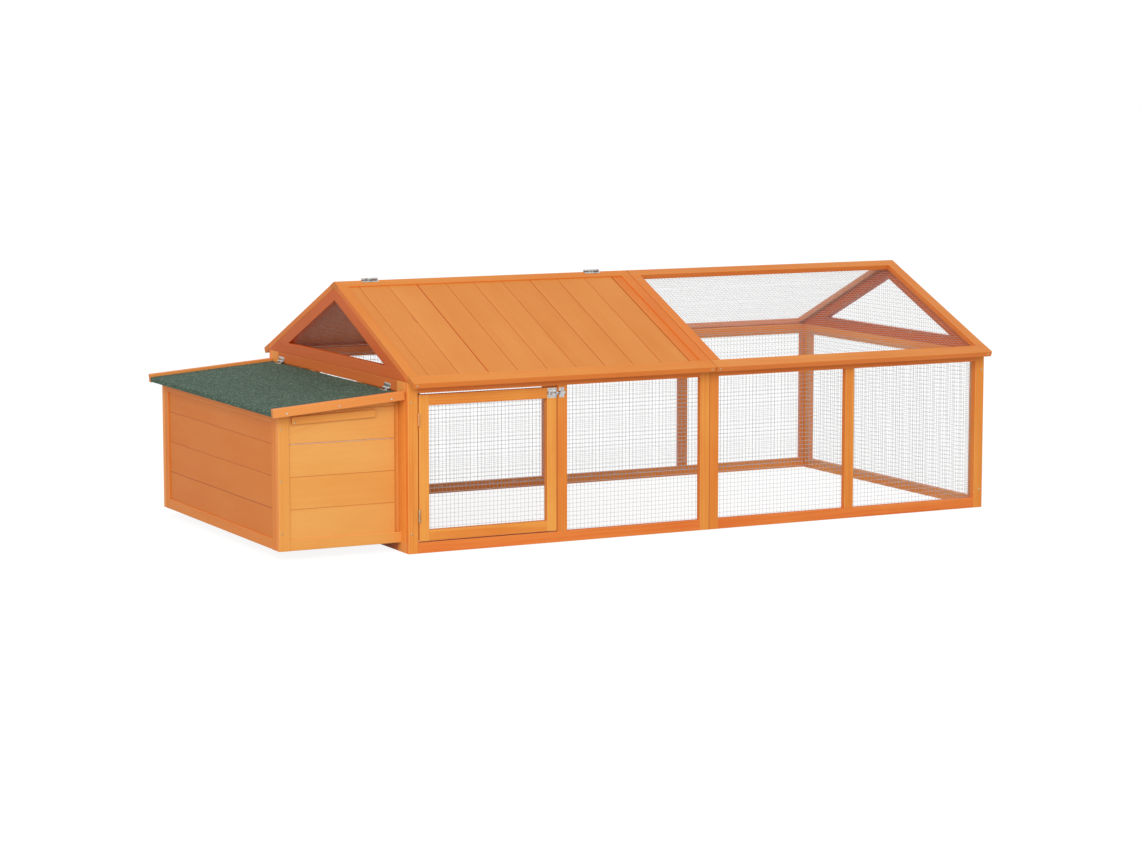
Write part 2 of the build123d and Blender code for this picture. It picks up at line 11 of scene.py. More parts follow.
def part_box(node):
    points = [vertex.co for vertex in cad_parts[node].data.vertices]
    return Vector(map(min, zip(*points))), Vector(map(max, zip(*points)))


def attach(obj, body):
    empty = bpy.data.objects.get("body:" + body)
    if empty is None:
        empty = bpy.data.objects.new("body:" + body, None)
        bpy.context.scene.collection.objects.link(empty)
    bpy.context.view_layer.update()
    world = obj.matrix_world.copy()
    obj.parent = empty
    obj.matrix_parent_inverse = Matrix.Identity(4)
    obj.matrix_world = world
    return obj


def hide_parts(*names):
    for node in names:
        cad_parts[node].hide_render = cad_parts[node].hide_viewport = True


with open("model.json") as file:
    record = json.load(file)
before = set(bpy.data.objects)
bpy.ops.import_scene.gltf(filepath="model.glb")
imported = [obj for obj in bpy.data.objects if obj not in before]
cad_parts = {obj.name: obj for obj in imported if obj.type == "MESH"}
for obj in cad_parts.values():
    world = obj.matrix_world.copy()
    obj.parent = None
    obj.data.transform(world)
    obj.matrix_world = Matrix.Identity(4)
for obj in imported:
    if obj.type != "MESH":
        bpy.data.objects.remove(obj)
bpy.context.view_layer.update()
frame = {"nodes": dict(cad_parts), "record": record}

# Wall frames: planed softwood bars, 32 by 20 mm, dipped in a thin orange-brown stain.
# Stiles run to the ground and the rails are butted and screwed between them.
# The planer leaves the long edges softly eased and the saw leaves the ends nearly sharp.
bar_ease = 0.0015
end_ease_share = 0.3
ease_steps = 2
same_point = 1e-6
flat_enough = radians(1)
length_digits, area_digits = 6, 9
square_on = 0.01
in_line = 0.99
facing_along = 0.9
log_length = 9.0
heart_aside = (0.005, 0.05)
heart_below = (0.02, 0.06)
grain_lean = 0.012
drift_run = (1.3, 9.0, 9.0)
knot_run = (1.7, 8.0, 8.0)
fibre_run = (16.0, 700.0, 700.0)
streak_run = (1.1, 55.0, 55.0)
uptake_run = (3.0, 8.0, 8.0)
drift_reach = (0.0, 0.02, 0.02)
knot_rarity = 0.72
knot_edge, knot_swirl = (0.03, 0.075), (0.05, 0.3)
knot_bulge = 0.006
log_taper = (0.004, 1.0, 1.0)
ring_width = 0.0046
late_from, late_until = (0.35, 0.9), (0.92, 1.0)
wood_gloss = 0.2
seam_reach = 0.004
panel_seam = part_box("front_right_stiles")[0].x
wall_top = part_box("front_right_stiles")[1].z
home = {node: body for body, nodes in frame["record"]["behaviour"]["bodies"].items() for node in nodes}
finish = {row["node"]: row["material_slot"] for row in frame["record"]["subparts"]}


class Link:
    """One socket of a node tree: sums on it add Math nodes, and node() adds any other node."""

    def __init__(self, tree, socket=None):
        self.tree = tree
        self.socket = socket

    def node(self, kind, sockets=None, settings=None, output=0):
        """Adds a node, makes its settings, then fills its sockets with values or links."""
        made = self.tree.nodes.new(kind)
        for name, value in (settings or {}).items():
            setattr(made, name, value)
        for key, value in (sockets or {}).items():
            if isinstance(value, Link):
                self.tree.links.new(value.socket, made.inputs[key])
            else:
                made.inputs[key].default_value = value
        return Link(self.tree, made.outputs[output] if len(made.outputs) else None)

    def out(self, name):
        """Another output of the same node."""
        return Link(self.tree, self.socket.node.outputs[name])

    def math(self, operation, *values):
        return self.node("ShaderNodeMath", dict(enumerate(values)), {"operation": operation})

    def __add__(self, other):
        return self.math("ADD", self, other)

    def __sub__(self, other):
        return self.math("SUBTRACT", self, other)

    def __rsub__(self, other):
        return self.math("SUBTRACT", other, self)

    def __mul__(self, other):
        return self.math("MULTIPLY", self, other)

    def __truediv__(self, other):
        return self.math("DIVIDE", self, other)

    def __rtruediv__(self, other):
        return self.math("DIVIDE", other, self)

    def __gt__(self, other):
        return self.math("GREATER_THAN", self, other)

    def __lt__(self, other):
        return self.math("LESS_THAN", self, other)

    def __abs__(self):
        return self.math("ABSOLUTE", self)

    __radd__ = __add__
    __rmul__ = __mul__

    def rise(self, low, high):
        """0 below low, 1 above high, eased between them."""
        settings = {"interpolation_type": "SMOOTHSTEP"}
        return self.node("ShaderNodeMapRange", {0: self, 1: low, 2: high}, settings)

    def vectors(self, operation, *values, output=0):
        """A sum on vectors."""
        settings = {"operation": operation}
        return self.node("ShaderNodeVectorMath", dict(enumerate(values)), settings, output)

    def vector(self, x=0.0, y=0.0, z=0.0):
        """A vector from three values."""
        return self.node("ShaderNodeCombineXYZ", {0: x, 1: y, 2: z})

    def parts(self):
        """The X of a vector, with its Y and Z as other outputs."""
        return self.node("ShaderNodeSeparateXYZ", {0: self})

    def stretch(self, scale):
        """A vector, multiplied axis by axis."""
        return self.vectors("MULTIPLY", self, scale)

    def noise(self, scale, detail=2.0, roughness=0.5):
        """Cloudy values about 0.5 on a vector, with so many clouds a metre."""
        return self.node("ShaderNodeTexNoise", {0: self, 2: scale, 3: detail, 4: roughness})

    def cells(self, scale):
        """Random cells on a vector, so many a metre: distance to each middle, and a random colour."""
        return self.node("ShaderNodeTexVoronoi", {"Vector": self, "Scale": scale})

    def red(self):
        """The first part of a colour, as a value."""
        return self.node("ShaderNodeSeparateColor", {0: self})

    def tint(self, first, second):
        """A colour that goes from the first to the second as this value goes from 0 to 1."""
        return self.node("ShaderNodeMix", {0: self, 6: first, 7: second}, {"data_type": "RGBA"}, 2)

    def attribute(self, name, output="Fac"):
        """A value that the mesh carries."""
        return self.node("ShaderNodeAttribute", None, {"attribute_name": name}, output)


def paint(code):
    """A colour written as red, green and blue pairs, in the renderer's linear values."""
    values = [int(code[start:start + 2], 16) / 255 for start in (0, 2, 4)]
    linear = [
        value / 12.92 if value < 0.04045 else ((value + 0.055) / 1.055) ** 2.4
        for value in values
    ]
    return (*linear, 1.0)


def new_material(name):
    """An empty material and a link into its node tree."""
    material = bpy.data.materials.new(name)
    material.use_nodes = True
    material.node_tree.nodes.clear()
    return material, Link(material.node_tree)


def surface(tree, sockets, height, depth, strength):
    """The shader of a finished surface, with its fine relief."""
    bump = {"Height": height, "Distance": depth, "Strength": strength}
    relief = tree.node("ShaderNodeBump", bump)
    shader = tree.node("ShaderNodeBsdfPrincipled", {**sockets, "Normal": relief})
    tree.node("ShaderNodeOutputMaterial", {"Surface": shader})


def tinted(colour, *tints):
    """A colour with others laid over it in turn, each by a value, a share and a code."""
    for value, share, code in tints:
        colour = (value * share).tint(colour, paint(code))
    return colour


def stained_softwood(name, dense, thin, edge, spread):
    """Softwood under a thin stain: growth rings, fibres, uneven uptake and small knots.

    The stain goes from thin to dense, edge is how it looks on eased edges, and spread is how far
    one stick differs from the next. A lighter edge on the bars is partly wear and partly a painted
    highlight; a darker one on the boards is stain pooled in the grooves. The grain's X runs along the
    stick.
    """
    material, tree = new_material(name)
    grain = tree.attribute("grain", "Vector")
    drift = grain.stretch(drift_run).noise(1.0).out("Color")
    waver = tree.vectors("MULTIPLY_ADD", drift, drift_reach, grain)
    knots = grain.stretch(knot_run).cells(1.0)
    rare = knots.out("Color").red() > knot_rarity
    knot = rare * (1 - knots.rise(*knot_edge))
    swirl = rare * (1 - knots.rise(*knot_swirl))
    across = waver.stretch(log_taper)
    radius = tree.vectors("LENGTH", across, output=1) + swirl * knot_bulge
    turn = radius.math("FRACT", radius / ring_width)
    late = turn.rise(*late_from) * (1 - turn.rise(*late_until))
    fibre = grain.stretch(fibre_run).noise(1.0, detail=3.0, roughness=0.65)
    streak = grain.stretch(streak_run).noise(1.0, detail=3.0, roughness=0.6)
    uptake = grain.stretch(uptake_run).noise(1.0, detail=3.0, roughness=0.55)

    depth = 0.5 + 0.14 * (late - 0.35) + 0.22 * (fibre - 0.5) + 0.45 * (streak - 0.5)
    depth = depth + 0.8 * (uptake - 0.5) + spread * (tree.attribute("tone") - 0.5)
    colour = tinted(
        depth.rise(0.0, 1.0).tint(paint(thin), paint(dense)),
        (knot, 0.5, "9A4A1C"),
        # Painted shade: the inward faces of the boards, the planks' undersides among them, are tinted
        # darker and redder.
        (tree.attribute("under"), 0.5, "D06A40"),
        # Painted shade: the narrow side faces of the bars are tinted redder, as they look in shade.
        (tree.attribute("narrow_shade"), 0.3, "E8662E"),
        (tree.attribute("endgrain"), 0.45, "B4622A"),
        # Eased edges: on the bars a lighter colour, partly wear and partly a painted highlight.
        (tree.attribute("eased"), 0.35 + 0.6 * tree.attribute("pool"), edge),
        # Painted shade: the joints between wall panels and between boards are darkened.
        (tree.attribute("seam"), 0.5, "9A4814"),
        (tree.attribute("raw"), 0.85, "F6E6D2"),
    )
    roughness = 0.56 + 0.14 * (fibre - 0.5) + 0.1 * (uptake - 0.5) - 0.05 * late
    height = 0.5 * fibre + 0.35 * late + 0.15 * streak
    sockets = {"Base Color": colour, "Roughness": roughness, "Specular IOR Level": wood_gloss}
    surface(tree, sockets, height, depth=0.00035, strength=0.5)
    return material


def loose_parts(mesh):
    """The separate solids of a mesh, each as its list of faces, in the order of their first faces."""
    owners = {}
    for face in mesh.polygons:
        for corner in face.vertices:
            owners.setdefault(corner, []).append(face.index)
    parts = []
    seen = set()
    for face in mesh.polygons:
        if face.index in seen:
            continue
        seen.add(face.index)
        waiting = [face.index]
        part = []
        while waiting:
            index = waiting.pop()
            part.append(mesh.polygons[index])
            for corner in mesh.polygons[index].vertices:
                fresh = [other for other in owners[corner] if other not in seen]
                seen.update(fresh)
                waiting.extend(fresh)
        parts.append(part)
    return parts


def stick_axes(mesh, faces):
    """A stick's own axes: along its longest edge, across it, and through its widest face."""
    points = mesh.vertices
    edges = [
        points[face.vertices[place]].co - points[face.vertices[place - 1]].co
        for face in faces
        for place in range(len(face.vertices))
    ]
    along = max(edges, key=lambda edge: round(edge.length, length_digits)).normalized()
    broad = [face for face in faces if abs(face.normal.dot(along)) < square_on]
    through = max(broad, key=lambda face: round(face.area, area_digits)).normal.copy()
    return along, through.cross(along), through


def settled(shape, name):
    """A plain mesh from one that was being edited."""
    mesh = bpy.data.meshes.new(name)
    shape.to_mesh(mesh)
    shape.free()
    return mesh


def merged_copy(node):
    """A copy of a node's mesh, with its loose triangles joined into whole faces."""
    shape = bmesh.new()
    shape.from_mesh(frame["nodes"][node].data)
    bmesh.ops.remove_doubles(shape, verts=shape.verts, dist=same_point)
    bmesh.ops.dissolve_limit(shape, angle_limit=flat_enough, verts=shape.verts, edges=shape.edges)
    return settled(shape, node)


def carry(mesh, name, domain, values):
    """Numbers or vectors stored on a mesh under a name, one to each point or face."""
    if isinstance(values[0], Vector):
        numbers = [number for value in values for number in value]
        mesh.attributes.new(name, "FLOAT_VECTOR", domain).data.foreach_set("vector", numbers)
    else:
        mesh.attributes.new(name, "FLOAT", domain).data.foreach_set("value", values)


def evaluated_copy(holder):
    """The plain mesh of an object with its modifiers worked out; the object itself is removed."""
    graph = bpy.context.evaluated_depsgraph_get()
    mesh = bpy.data.meshes.new_from_object(
        holder.evaluated_get(graph), preserve_all_data_layers=True, depsgraph=graph
    )
    bpy.data.objects.remove(holder)
    return mesh


def in_scene(name, mesh):
    """An object for a mesh, at the origin of the scene."""
    piece = bpy.data.objects.new(name, mesh)
    bpy.context.scene.collection.objects.link(piece)
    return piece


def eased_copy(mesh, **settings):
    """A mesh with its edges rounded over by a bevel."""
    holder = in_scene("uneased", mesh)
    bevel = holder.modifiers.new("ease", "BEVEL")
    bevel.segments = ease_steps
    for name, value in settings.items():
        setattr(bevel, name, value)
    return evaluated_copy(holder)


def stand_for(name, mesh, *nodes):
    """A piece that takes the place and the body of its nodes."""
    piece = in_scene(name, mesh)
    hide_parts(*nodes)
    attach(piece, home[nodes[0]])


def timber(node, *stains):
    """The bars of one node with eased edges, each cut from a log of its own.

    With several stains the bars take them in turn, and a roof frame's side trims start at the right.
    """
    mesh = merged_copy(node)
    for stain in (*stains, stains[0]):
        mesh.materials.append(stain)
    eased_slot = len(stains)
    weights = mesh.attributes.new("bevel_weight_edge", "FLOAT", "EDGE")
    for faces in loose_parts(mesh):
        along = stick_axes(mesh, faces)[0]
        corners = {corner for face in faces for corner in face.vertices}
        for edge in mesh.edges:
            if edge.vertices[0] in corners:
                run = mesh.vertices[edge.vertices[1]].co - mesh.vertices[edge.vertices[0]].co
                lengthwise = abs(run.normalized().dot(along)) > in_line
                weights.data[edge.index].value = 1.0 if lengthwise else end_ease_share
    mesh = eased_copy(mesh, limit_method="WEIGHT", width=bar_ease, material=eased_slot)

    draw = random.Random(node)
    grain = [Vector() for _ in mesh.vertices]
    tone = [0.0] * len(mesh.vertices)
    endgrain = [0.0] * len(mesh.polygons)
    narrow_shade = [0.0] * len(mesh.polygons)
    looks = [0] * len(mesh.polygons)
    eased = [float(face.material_index == eased_slot) for face in mesh.polygons]
    # Eased edges where two wall panels meet take painted shade in the joint.
    at_seam = [
        abs(face.center.x - panel_seam) < seam_reach and face.center.z < wall_top
        for face in mesh.polygons
    ]
    seam = [share * near for share, near in zip(eased, at_seam)]
    for number, faces in enumerate(loose_parts(mesh)):
        axes = stick_axes(mesh, faces)
        start = mesh.vertices[faces[0].vertices[0]].co.copy()
        sideways = draw.choice((-1, 1)) * draw.uniform(*heart_aside)
        shift = Vector((draw.uniform(0, log_length), sideways, draw.uniform(*heart_below)))
        lean = draw.uniform(-grain_lean, grain_lean)
        share = draw.random()
        for face in faces:
            looks[face.index] = number % len(stains)
            endgrain[face.index] = float(abs(face.normal.dot(axes[0])) > facing_along)
            # Faces turned to the stick's sides, which take the painted shade.
            narrow_shade[face.index] = float(abs(face.normal.dot(axes[1])) > facing_along)
            for corner in face.vertices:
                offset = mesh.vertices[corner].co - start
                place = Vector([offset.dot(axis) for axis in axes])
                place.y += lean * place.x
                grain[corner] = place + shift
                tone[corner] = share
    carry(mesh, "grain", "POINT", grain)
    carry(mesh, "tone", "POINT", tone)
    on_faces = {"endgrain": endgrain, "narrow_shade": narrow_shade, "eased": eased, "seam": seam}
    for name, values in on_faces.items():
        carry(mesh, name, "FACE", values)
    mesh.polygons.foreach_set("material_index", looks)
    mesh.materials.pop(index=eased_slot)
    stand_for(node + "_timber", mesh, node)


stile_stain = stained_softwood("stile_stain", "D77127", "EAA44B", "F0A75F", 0.4)
rail_stain = stained_softwood("rail_stain", "D66223", "E88B40", "EE9A54", 0.3)
back_stain = stained_softwood("back_stain", "E27E32", "ED9444", "EBA25A", 0.3)
warm_stain = stained_softwood("warm_stain", "D3752A", "D98536", "DC9147", 0.2)
ruddy_stain = stained_softwood("ruddy_stain", "C95F1E", "D16F2D", "D47F40", 0.2)
# Painted light: a lighter copy of the stain for the left end's stiles, for the light that brightens the
# corner beside the nest box.
lit_stile_stain = stained_softwood("lit_stile_stain", "E88C3B", "EEA04B", "EFAF62", 0.2)
pale_stain = stained_softwood("pale_stain", "E28132", "EB9B4F", "EDA668", 0.3)
wall_stains = {
    "front_left": (stile_stain, rail_stain), "front_right": (stile_stain, rail_stain),
    "back_left": (back_stain, back_stain), "back_right": (back_stain, back_stain),
    "left_end": (lit_stile_stain, ruddy_stain), "right_end": (pale_stain, pale_stain),
}
for wall, (stile_look, rail_look) in wall_stains.items():
    timber(wall + "_stiles", stile_look)
    timber(wall + "_rails", rail_look)

# Left end boards: tongued softwood boards each side of the doorway into the nest box.
# They are let in between the jamb and the wide stile, one cover width each but the top one.
# Each has chamfered long edges, and the stain pools in the shallow grooves between them.
board_joint = 0.0002
board_ease = 0.0014
board_pitch = 0.0935
groove_slope = 0.55
tongue_reach = 0.005
tongue_half = 0.0015
groove_room = 0.0004
none_opened = 99
log_low = (0.0, -0.08, 0.012)
log_high = (log_length, 0.08, 0.05)
chamfer_share = 0.2
end_seed = 11
pool_seed = 31


def new_tree(name, sizes):
    """A geometry tree with named inputs and their values: a link into it, and those from its inputs."""
    kinds = {float: "NodeSocketFloat", int: "NodeSocketInt", type(None): "NodeSocketObject"}
    tree = bpy.data.node_groups.new(name, "GeometryNodeTree")
    tree.interface.new_socket("Geometry", in_out="INPUT", socket_type="NodeSocketGeometry")
    tree.interface.new_socket("Geometry", in_out="OUTPUT", socket_type="NodeSocketGeometry")
    for size, value in sizes.items():
        socket = tree.interface.new_socket(size, in_out="INPUT", socket_type=kinds[type(value)])
        socket.default_value = value
    tree.interface.new_socket("Material", in_out="INPUT", socket_type="NodeSocketMaterial")
    entry = tree.nodes.new("NodeGroupInput")
    return Link(tree), {socket.name: Link(tree, socket) for socket in entry.outputs if socket.name}


def mark(geometry, name, value, domain, kind="FLOAT"):
    """A geometry with a named value stored on it."""
    settings = {"data_type": kind, "domain": domain}
    sockets = {0: geometry, "Name": name, "Value": value}
    return geometry.node("GeometryNodeStoreNamedAttribute", sockets, settings)


def held(start, name, kind="FLOAT"):
    """A named value that the geometry holds."""
    return start.node("GeometryNodeInputNamedAttribute", {"Name": name}, {"data_type": kind})


def chance(start, high, **sockets):
    """A random value from 0 to high for each element."""
    between = {2: 0.0, 3: high, **sockets}
    return start.node("FunctionNodeRandomValue", between, {"data_type": "FLOAT"}, 1)


def beside(first, second):
    """Two geometries as one."""
    both = first.node("GeometryNodeJoinGeometry", {0: first})
    both.tree.links.new(second.socket, both.socket.node.inputs[0])
    return both


def close_tree(geometry, material):
    """The end of a geometry tree, which it gives back: instances made real, and the material set."""
    real = geometry.node("GeometryNodeRealizeInstances", {0: geometry})
    dressed = real.node("GeometryNodeSetMaterial", {"Geometry": real, "Material": material})
    dressed.node("NodeGroupOutput", {0: dressed})
    return dressed.tree


def grown(tree, start, material, **sizes):
    """The plain mesh that a geometry tree makes of a starting mesh, at the sizes given."""
    holder = in_scene("grown", start)
    modifier = holder.modifiers.new("build", "NODES")
    modifier.node_group = tree
    wanted = {name.capitalize(): value for name, value in sizes.items()}
    wanted["Material"] = material
    for item in tree.interface.items_tree:
        if item.in_out == "INPUT" and item.name in wanted:
            modifier[item.identifier] = wanted[item.name]
    return evaluated_copy(holder)


def boarding_tree():
    """Boards side by side along X, from one section in XZ, ripped to the field at both sides."""
    start, put = new_tree("boarding", {
        "Length": 1.0, "Pitch": board_pitch, "Count": 1, "First": 0.0, "Low": 0.0, "High": 1.0,
        "Taper": 0.0, "Opened": none_opened, "Opening": 0.0, "Seed": 0,
    })
    sweep = {"Mesh": put["Geometry"], "Offset Scale": put["Length"], "Individual": False}
    body = start.node("GeometryNodeExtrudeMesh", sweep)
    foot = start.node("GeometryNodeFlipFaces", {"Mesh": put["Geometry"]})
    whole = {0: beside(body, foot), "Distance": same_point}
    board = start.node("GeometryNodeMergeByDistance", whole)

    index = start.node("GeometryNodeInputIndex")
    first, step = start.vector(put["First"]), start.vector(put["Pitch"])
    line = {"Count": put["Count"], "Start Location": first, "Offset": step}
    row = start.node("GeometryNodeMeshLine", line, {"mode": "OFFSET"})
    lift = start.vector((index > put["Opened"]) * put["Opening"])
    row = start.node("GeometryNodeSetPosition", {0: row, "Offset": lift})
    boards = start.node("GeometryNodeInstanceOnPoints", {"Points": row, "Instance": board})
    logs = {0: log_low, 1: log_high, "Seed": put["Seed"] + 1}
    log = start.node("FunctionNodeRandomValue", logs, {"data_type": "FLOAT_VECTOR"})
    boards = mark(boards, "tone", chance(start, 1.0, Seed=put["Seed"]), "INSTANCE")
    boards = mark(boards, "board", index, "INSTANCE")
    boards = mark(boards, "log", log, "INSTANCE", "FLOAT_VECTOR")
    boards = start.node("GeometryNodeRealizeInstances", {0: boards})

    place = start.node("GeometryNodeInputPosition").parts()
    length, height = place.out("Y"), place.out("Z")
    ripped = place.math("MAXIMUM", place, put["Low"])
    ripped = place.math("MINIMUM", ripped, put["High"] + put["Taper"] * length)
    moved = {0: boards, "Position": start.vector(ripped, length, height)}
    boards = start.node("GeometryNodeSetPosition", moved)
    boards = start.node("GeometryNodeMergeByDistance", {0: boards, "Distance": same_point})
    along = start.vector(length, place, height)
    grain = start.vectors("ADD", along, held(start, "log", "FLOAT_VECTOR"))
    boards = mark(boards, "grain", grain, "POINT", "FLOAT_VECTOR")
    normal = start.node("GeometryNodeInputNormal").parts()
    joint = held(start, "board") + (normal > 0.0)
    pool = chance(start, 1.0, ID=joint, Seed=put["Seed"] + pool_seed)
    on_faces = {
        "pool": pool * pool * pool,
        "eased": abs(normal * normal.out("Z")) > chamfer_share,
        "endgrain": abs(normal.out("Y")) > facing_along,
        # Board side walls in the joints, which take painted shade.
        "seam": abs(normal) > facing_along,
        # Faces turned inward, under the planks and inside the nest box, which take the painted shade.
        "under": normal.out("Z") < -facing_along,
    }
    for name, value in on_faces.items():
        boards = mark(boards, name, value, "FACE")
    boards = start.node("GeometryNodeSetShadeSmooth", {0: boards, "Shade Smooth": False})
    return close_tree(boards, put["Material"])


def board_section(pitch, thick, ease, bare):
    """A board's section: chamfered face edges, a tongue on the high side, a groove on the low one."""
    width = pitch - board_joint
    middle = -thick / 2
    slot = tongue_half + groove_room
    outline = [
        (ease, 0), (width - ease, 0), (width, -ease * groove_slope),
        (width, middle + tongue_half), (width + tongue_reach, middle + tongue_half),
        (width + tongue_reach, middle - tongue_half), (width, middle - tongue_half),
        (width, -thick), (0, -thick),
        (0, middle - slot), (tongue_reach + groove_room, middle - slot),
        (tongue_reach + groove_room, middle + slot), (0, middle + slot), (0, -ease * groove_slope),
    ]
    tongue = range(3, 7)
    mesh = bpy.data.meshes.new("section")
    mesh.from_pydata([(x, 0, z) for x, z in outline], [], [range(len(outline))])
    raw = [float(bare and corner in tongue) for corner in range(len(outline))]
    carry(mesh, "raw", "POINT", raw)
    return mesh


def facing(outward, across):
    """A frame whose Z looks outward and whose X runs across, as boards lie side by side."""
    return Matrix((across, outward.cross(across), outward)).transposed().to_4x4()


def box_in(node, matrix):
    """A node's lowest and highest corners in a frame of its own."""
    inverse = matrix.inverted()
    places = [inverse @ vertex.co for vertex in frame["nodes"][node].data.vertices]
    low = Vector([min(place[axis] for place in places) for axis in range(3)])
    high = Vector([max(place[axis] for place in places) for axis in range(3)])
    return low, high


def boards(
    matrix, stain, low, high, first_joint, pitch, ease, seed,
    taper=0.0, opened=none_opened, opening=0.0, tongue_out=0.0,
):
    """The boards of one field, laid from its corner in a frame, with their joints a pitch apart.

    A tongue that stands out past the field is stained like the boards.
    """
    length = high.y - low.y
    count = floor((high.x + abs(taper) * length - first_joint) / pitch) + 2
    mesh = grown(
        boarding, board_section(pitch, high.z - low.z, ease, not tongue_out), stain,
        length=length, pitch=pitch, count=count, first=first_joint - pitch + board_joint / 2,
        low=low.x, high=high.x + tongue_out, taper=taper, opened=opened, opening=opening, seed=seed,
    )
    mesh.transform(matrix @ Matrix.Translation((0, low.y, high.z)))
    return mesh


def joined(meshes):
    """Several grown meshes as one, each in its own material."""
    looks = list(dict.fromkeys(mesh.materials[-1] for mesh in meshes))
    shape = bmesh.new()
    for mesh in meshes:
        place = looks.index(mesh.materials[-1])
        mesh.polygons.foreach_set("material_index", [place] * len(mesh.polygons))
        shape.from_mesh(mesh)
    whole = meshes[0]
    whole.materials.clear()
    for look in looks:
        whole.materials.append(look)
    shape.to_mesh(whole)
    shape.free()
    return whole


boarding = boarding_tree()
end_stain = stained_softwood("end_stain", "CC6D22", "D17C2C", "A94E1A", 0.2)
left, back, up = Vector((-1, 0, 0)), Vector((0, 1, 0)), Vector((0, 0, 1))
right, front = -left, -back
end_frame = facing(left, up)
low, high = box_in("left_end_boards", end_frame)
jambs = sorted(abs(vertex.co.y) for vertex in frame["nodes"]["left_end_boards"].data.vertices)
fields = []
first_joint = low.x + board_pitch
for seed, (near, far) in enumerate(((-jambs[-1], -jambs[0]), (jambs[0], jambs[-1])), end_seed):
    field = Vector((low.x, near, low.z)), Vector((high.x, far, high.z))
    fields.append(boards(end_frame, end_stain, *field, first_joint, board_pitch, board_ease, seed))
stand_for("left_end_boards_timber", joined(fields), "left_end_boards")

# Netting: half-inch squares of thin galvanised wire, welded where the wires cross.
# A sheet is cut to lap each frame and stapled to its inside face, uprights against the wood.
# Handling leaves the wires a little out of true.
wire_thick = 0.0009
wire_pitch = 0.0127
wire_sway = 0.0003
wire_sides = 6
wire_span = 3
wire_layer = 0.45
sway_clouds = 7.0
sway_gain = 4
spangle_fine = 260.0
bloom_wide = 9.0
net_lap = 0.004
staple_inset = 0.004
staple_clear = 0.03
staple_lines = {"hutch": [], "door": []}


def netting_tree():
    """Two layers of wires in the XY plane, cut to a rectangle or, with taper, to a triangle."""
    start, put = new_tree("netting", {
        "Width": 1.0, "Height": 0.5, "Pitch": wire_pitch,
        "Wire": wire_thick, "Sway": wire_sway, "Taper": 0.0,
    })
    columns = put["Width"].math("FLOOR", put["Width"] / put["Pitch"])
    rows = put["Height"].math("FLOOR", put["Height"] / put["Pitch"])
    squares = {0: columns * put["Pitch"], 1: rows * put["Pitch"], 2: columns + 1, 3: rows + 1}
    grid = start.node("GeometryNodeMeshGrid", squares)
    place = start.node("GeometryNodeInputPosition").parts()
    share = 0.5 + place.out("Y") / put["Height"]
    outside = abs(place) > (put["Width"] / 2) * (1 - share)
    cut = {0: grid, 1: outside * put["Taper"]}
    grid = start.node("GeometryNodeDeleteGeometry", cut, {"domain": "POINT"})

    ends = start.node("GeometryNodeInputMeshEdgeVertices", output="Position 1")
    span = start.vectors("SUBTRACT", ends, ends.out("Position 2")).parts()
    level = abs(span) > put["Pitch"] / 2
    circle = {"Resolution": wire_sides, "Radius": put["Wire"] / 2}
    profile = start.node("GeometryNodeCurvePrimitiveCircle", circle)
    waver = start.node("GeometryNodeInputPosition").noise(sway_clouds).out("Color")
    waver = start.vectors("SUBTRACT", waver, (0.5, 0.5, 0.5)).stretch(put["Sway"] * sway_gain)
    layers = []
    for unwanted, height, crosswise in ((level, wire_layer, 0.0), (1 - level, -wire_layer, 1.0)):
        sifted = {"domain": "EDGE", "mode": "EDGE_FACE"}
        wires = start.node("GeometryNodeDeleteGeometry", {0: grid, 1: unwanted}, sifted)
        wires = start.node("GeometryNodeMeshToCurve", {0: wires})
        steps = {0: wires, "Length": put["Pitch"] * wire_span}
        wires = start.node("GeometryNodeResampleCurve", steps, {"mode": "LENGTH"})
        offset = start.vectors("ADD", waver, start.vector(z=put["Wire"] * height))
        wires = start.node("GeometryNodeSetPosition", {0: wires, "Offset": offset})
        rods = start.node("GeometryNodeCurveToMesh", {0: wires, 1: profile, "Fill Caps": True})
        layers.append(mark(rods, "crosswise", crosswise, "FACE"))
    both = start.node("GeometryNodeSetShadeSmooth", {0: beside(*layers), "Shade Smooth": True})
    return close_tree(both, put["Material"])


def galvanised_wire(name, upright, crosswise):
    """Dull zinc coat on drawn wire: soft spangle, faint bloom, cross wires painted lighter as a
    highlight from above.
    """
    material, tree = new_material(name)
    place = tree.node("ShaderNodeTexCoord", output="Object")
    spangle = place.noise(spangle_fine)
    bloom = place.noise(bloom_wide, detail=3.0)
    colour = tinted(
        # Painted highlight: the cross wires take the lighter colour, as if lit from above.
        tree.attribute("crosswise").tint(paint(upright), paint(crosswise)),
        (bloom.rise(0.3, 0.75), 0.3, "C4C7C8"),
        (spangle.rise(0.45, 0.8), 0.3, "7E8284"),
    )
    sockets = {"Base Color": colour, "Roughness": 0.38 + 0.22 * spangle, "Metallic": 0.75}
    surface(tree, sockets, spangle, depth=0.00005, strength=0.4)
    return material


def note_staples(body, matrix, lines, depth):
    """Remembers lines on a sheet along which it is stapled, in the frame's own X and Y."""
    for line in lines:
        ends = [matrix @ Vector((x, y, depth)) for x, y in line]
        staple_lines[body].append((ends, -matrix.col[2].to_3d()))


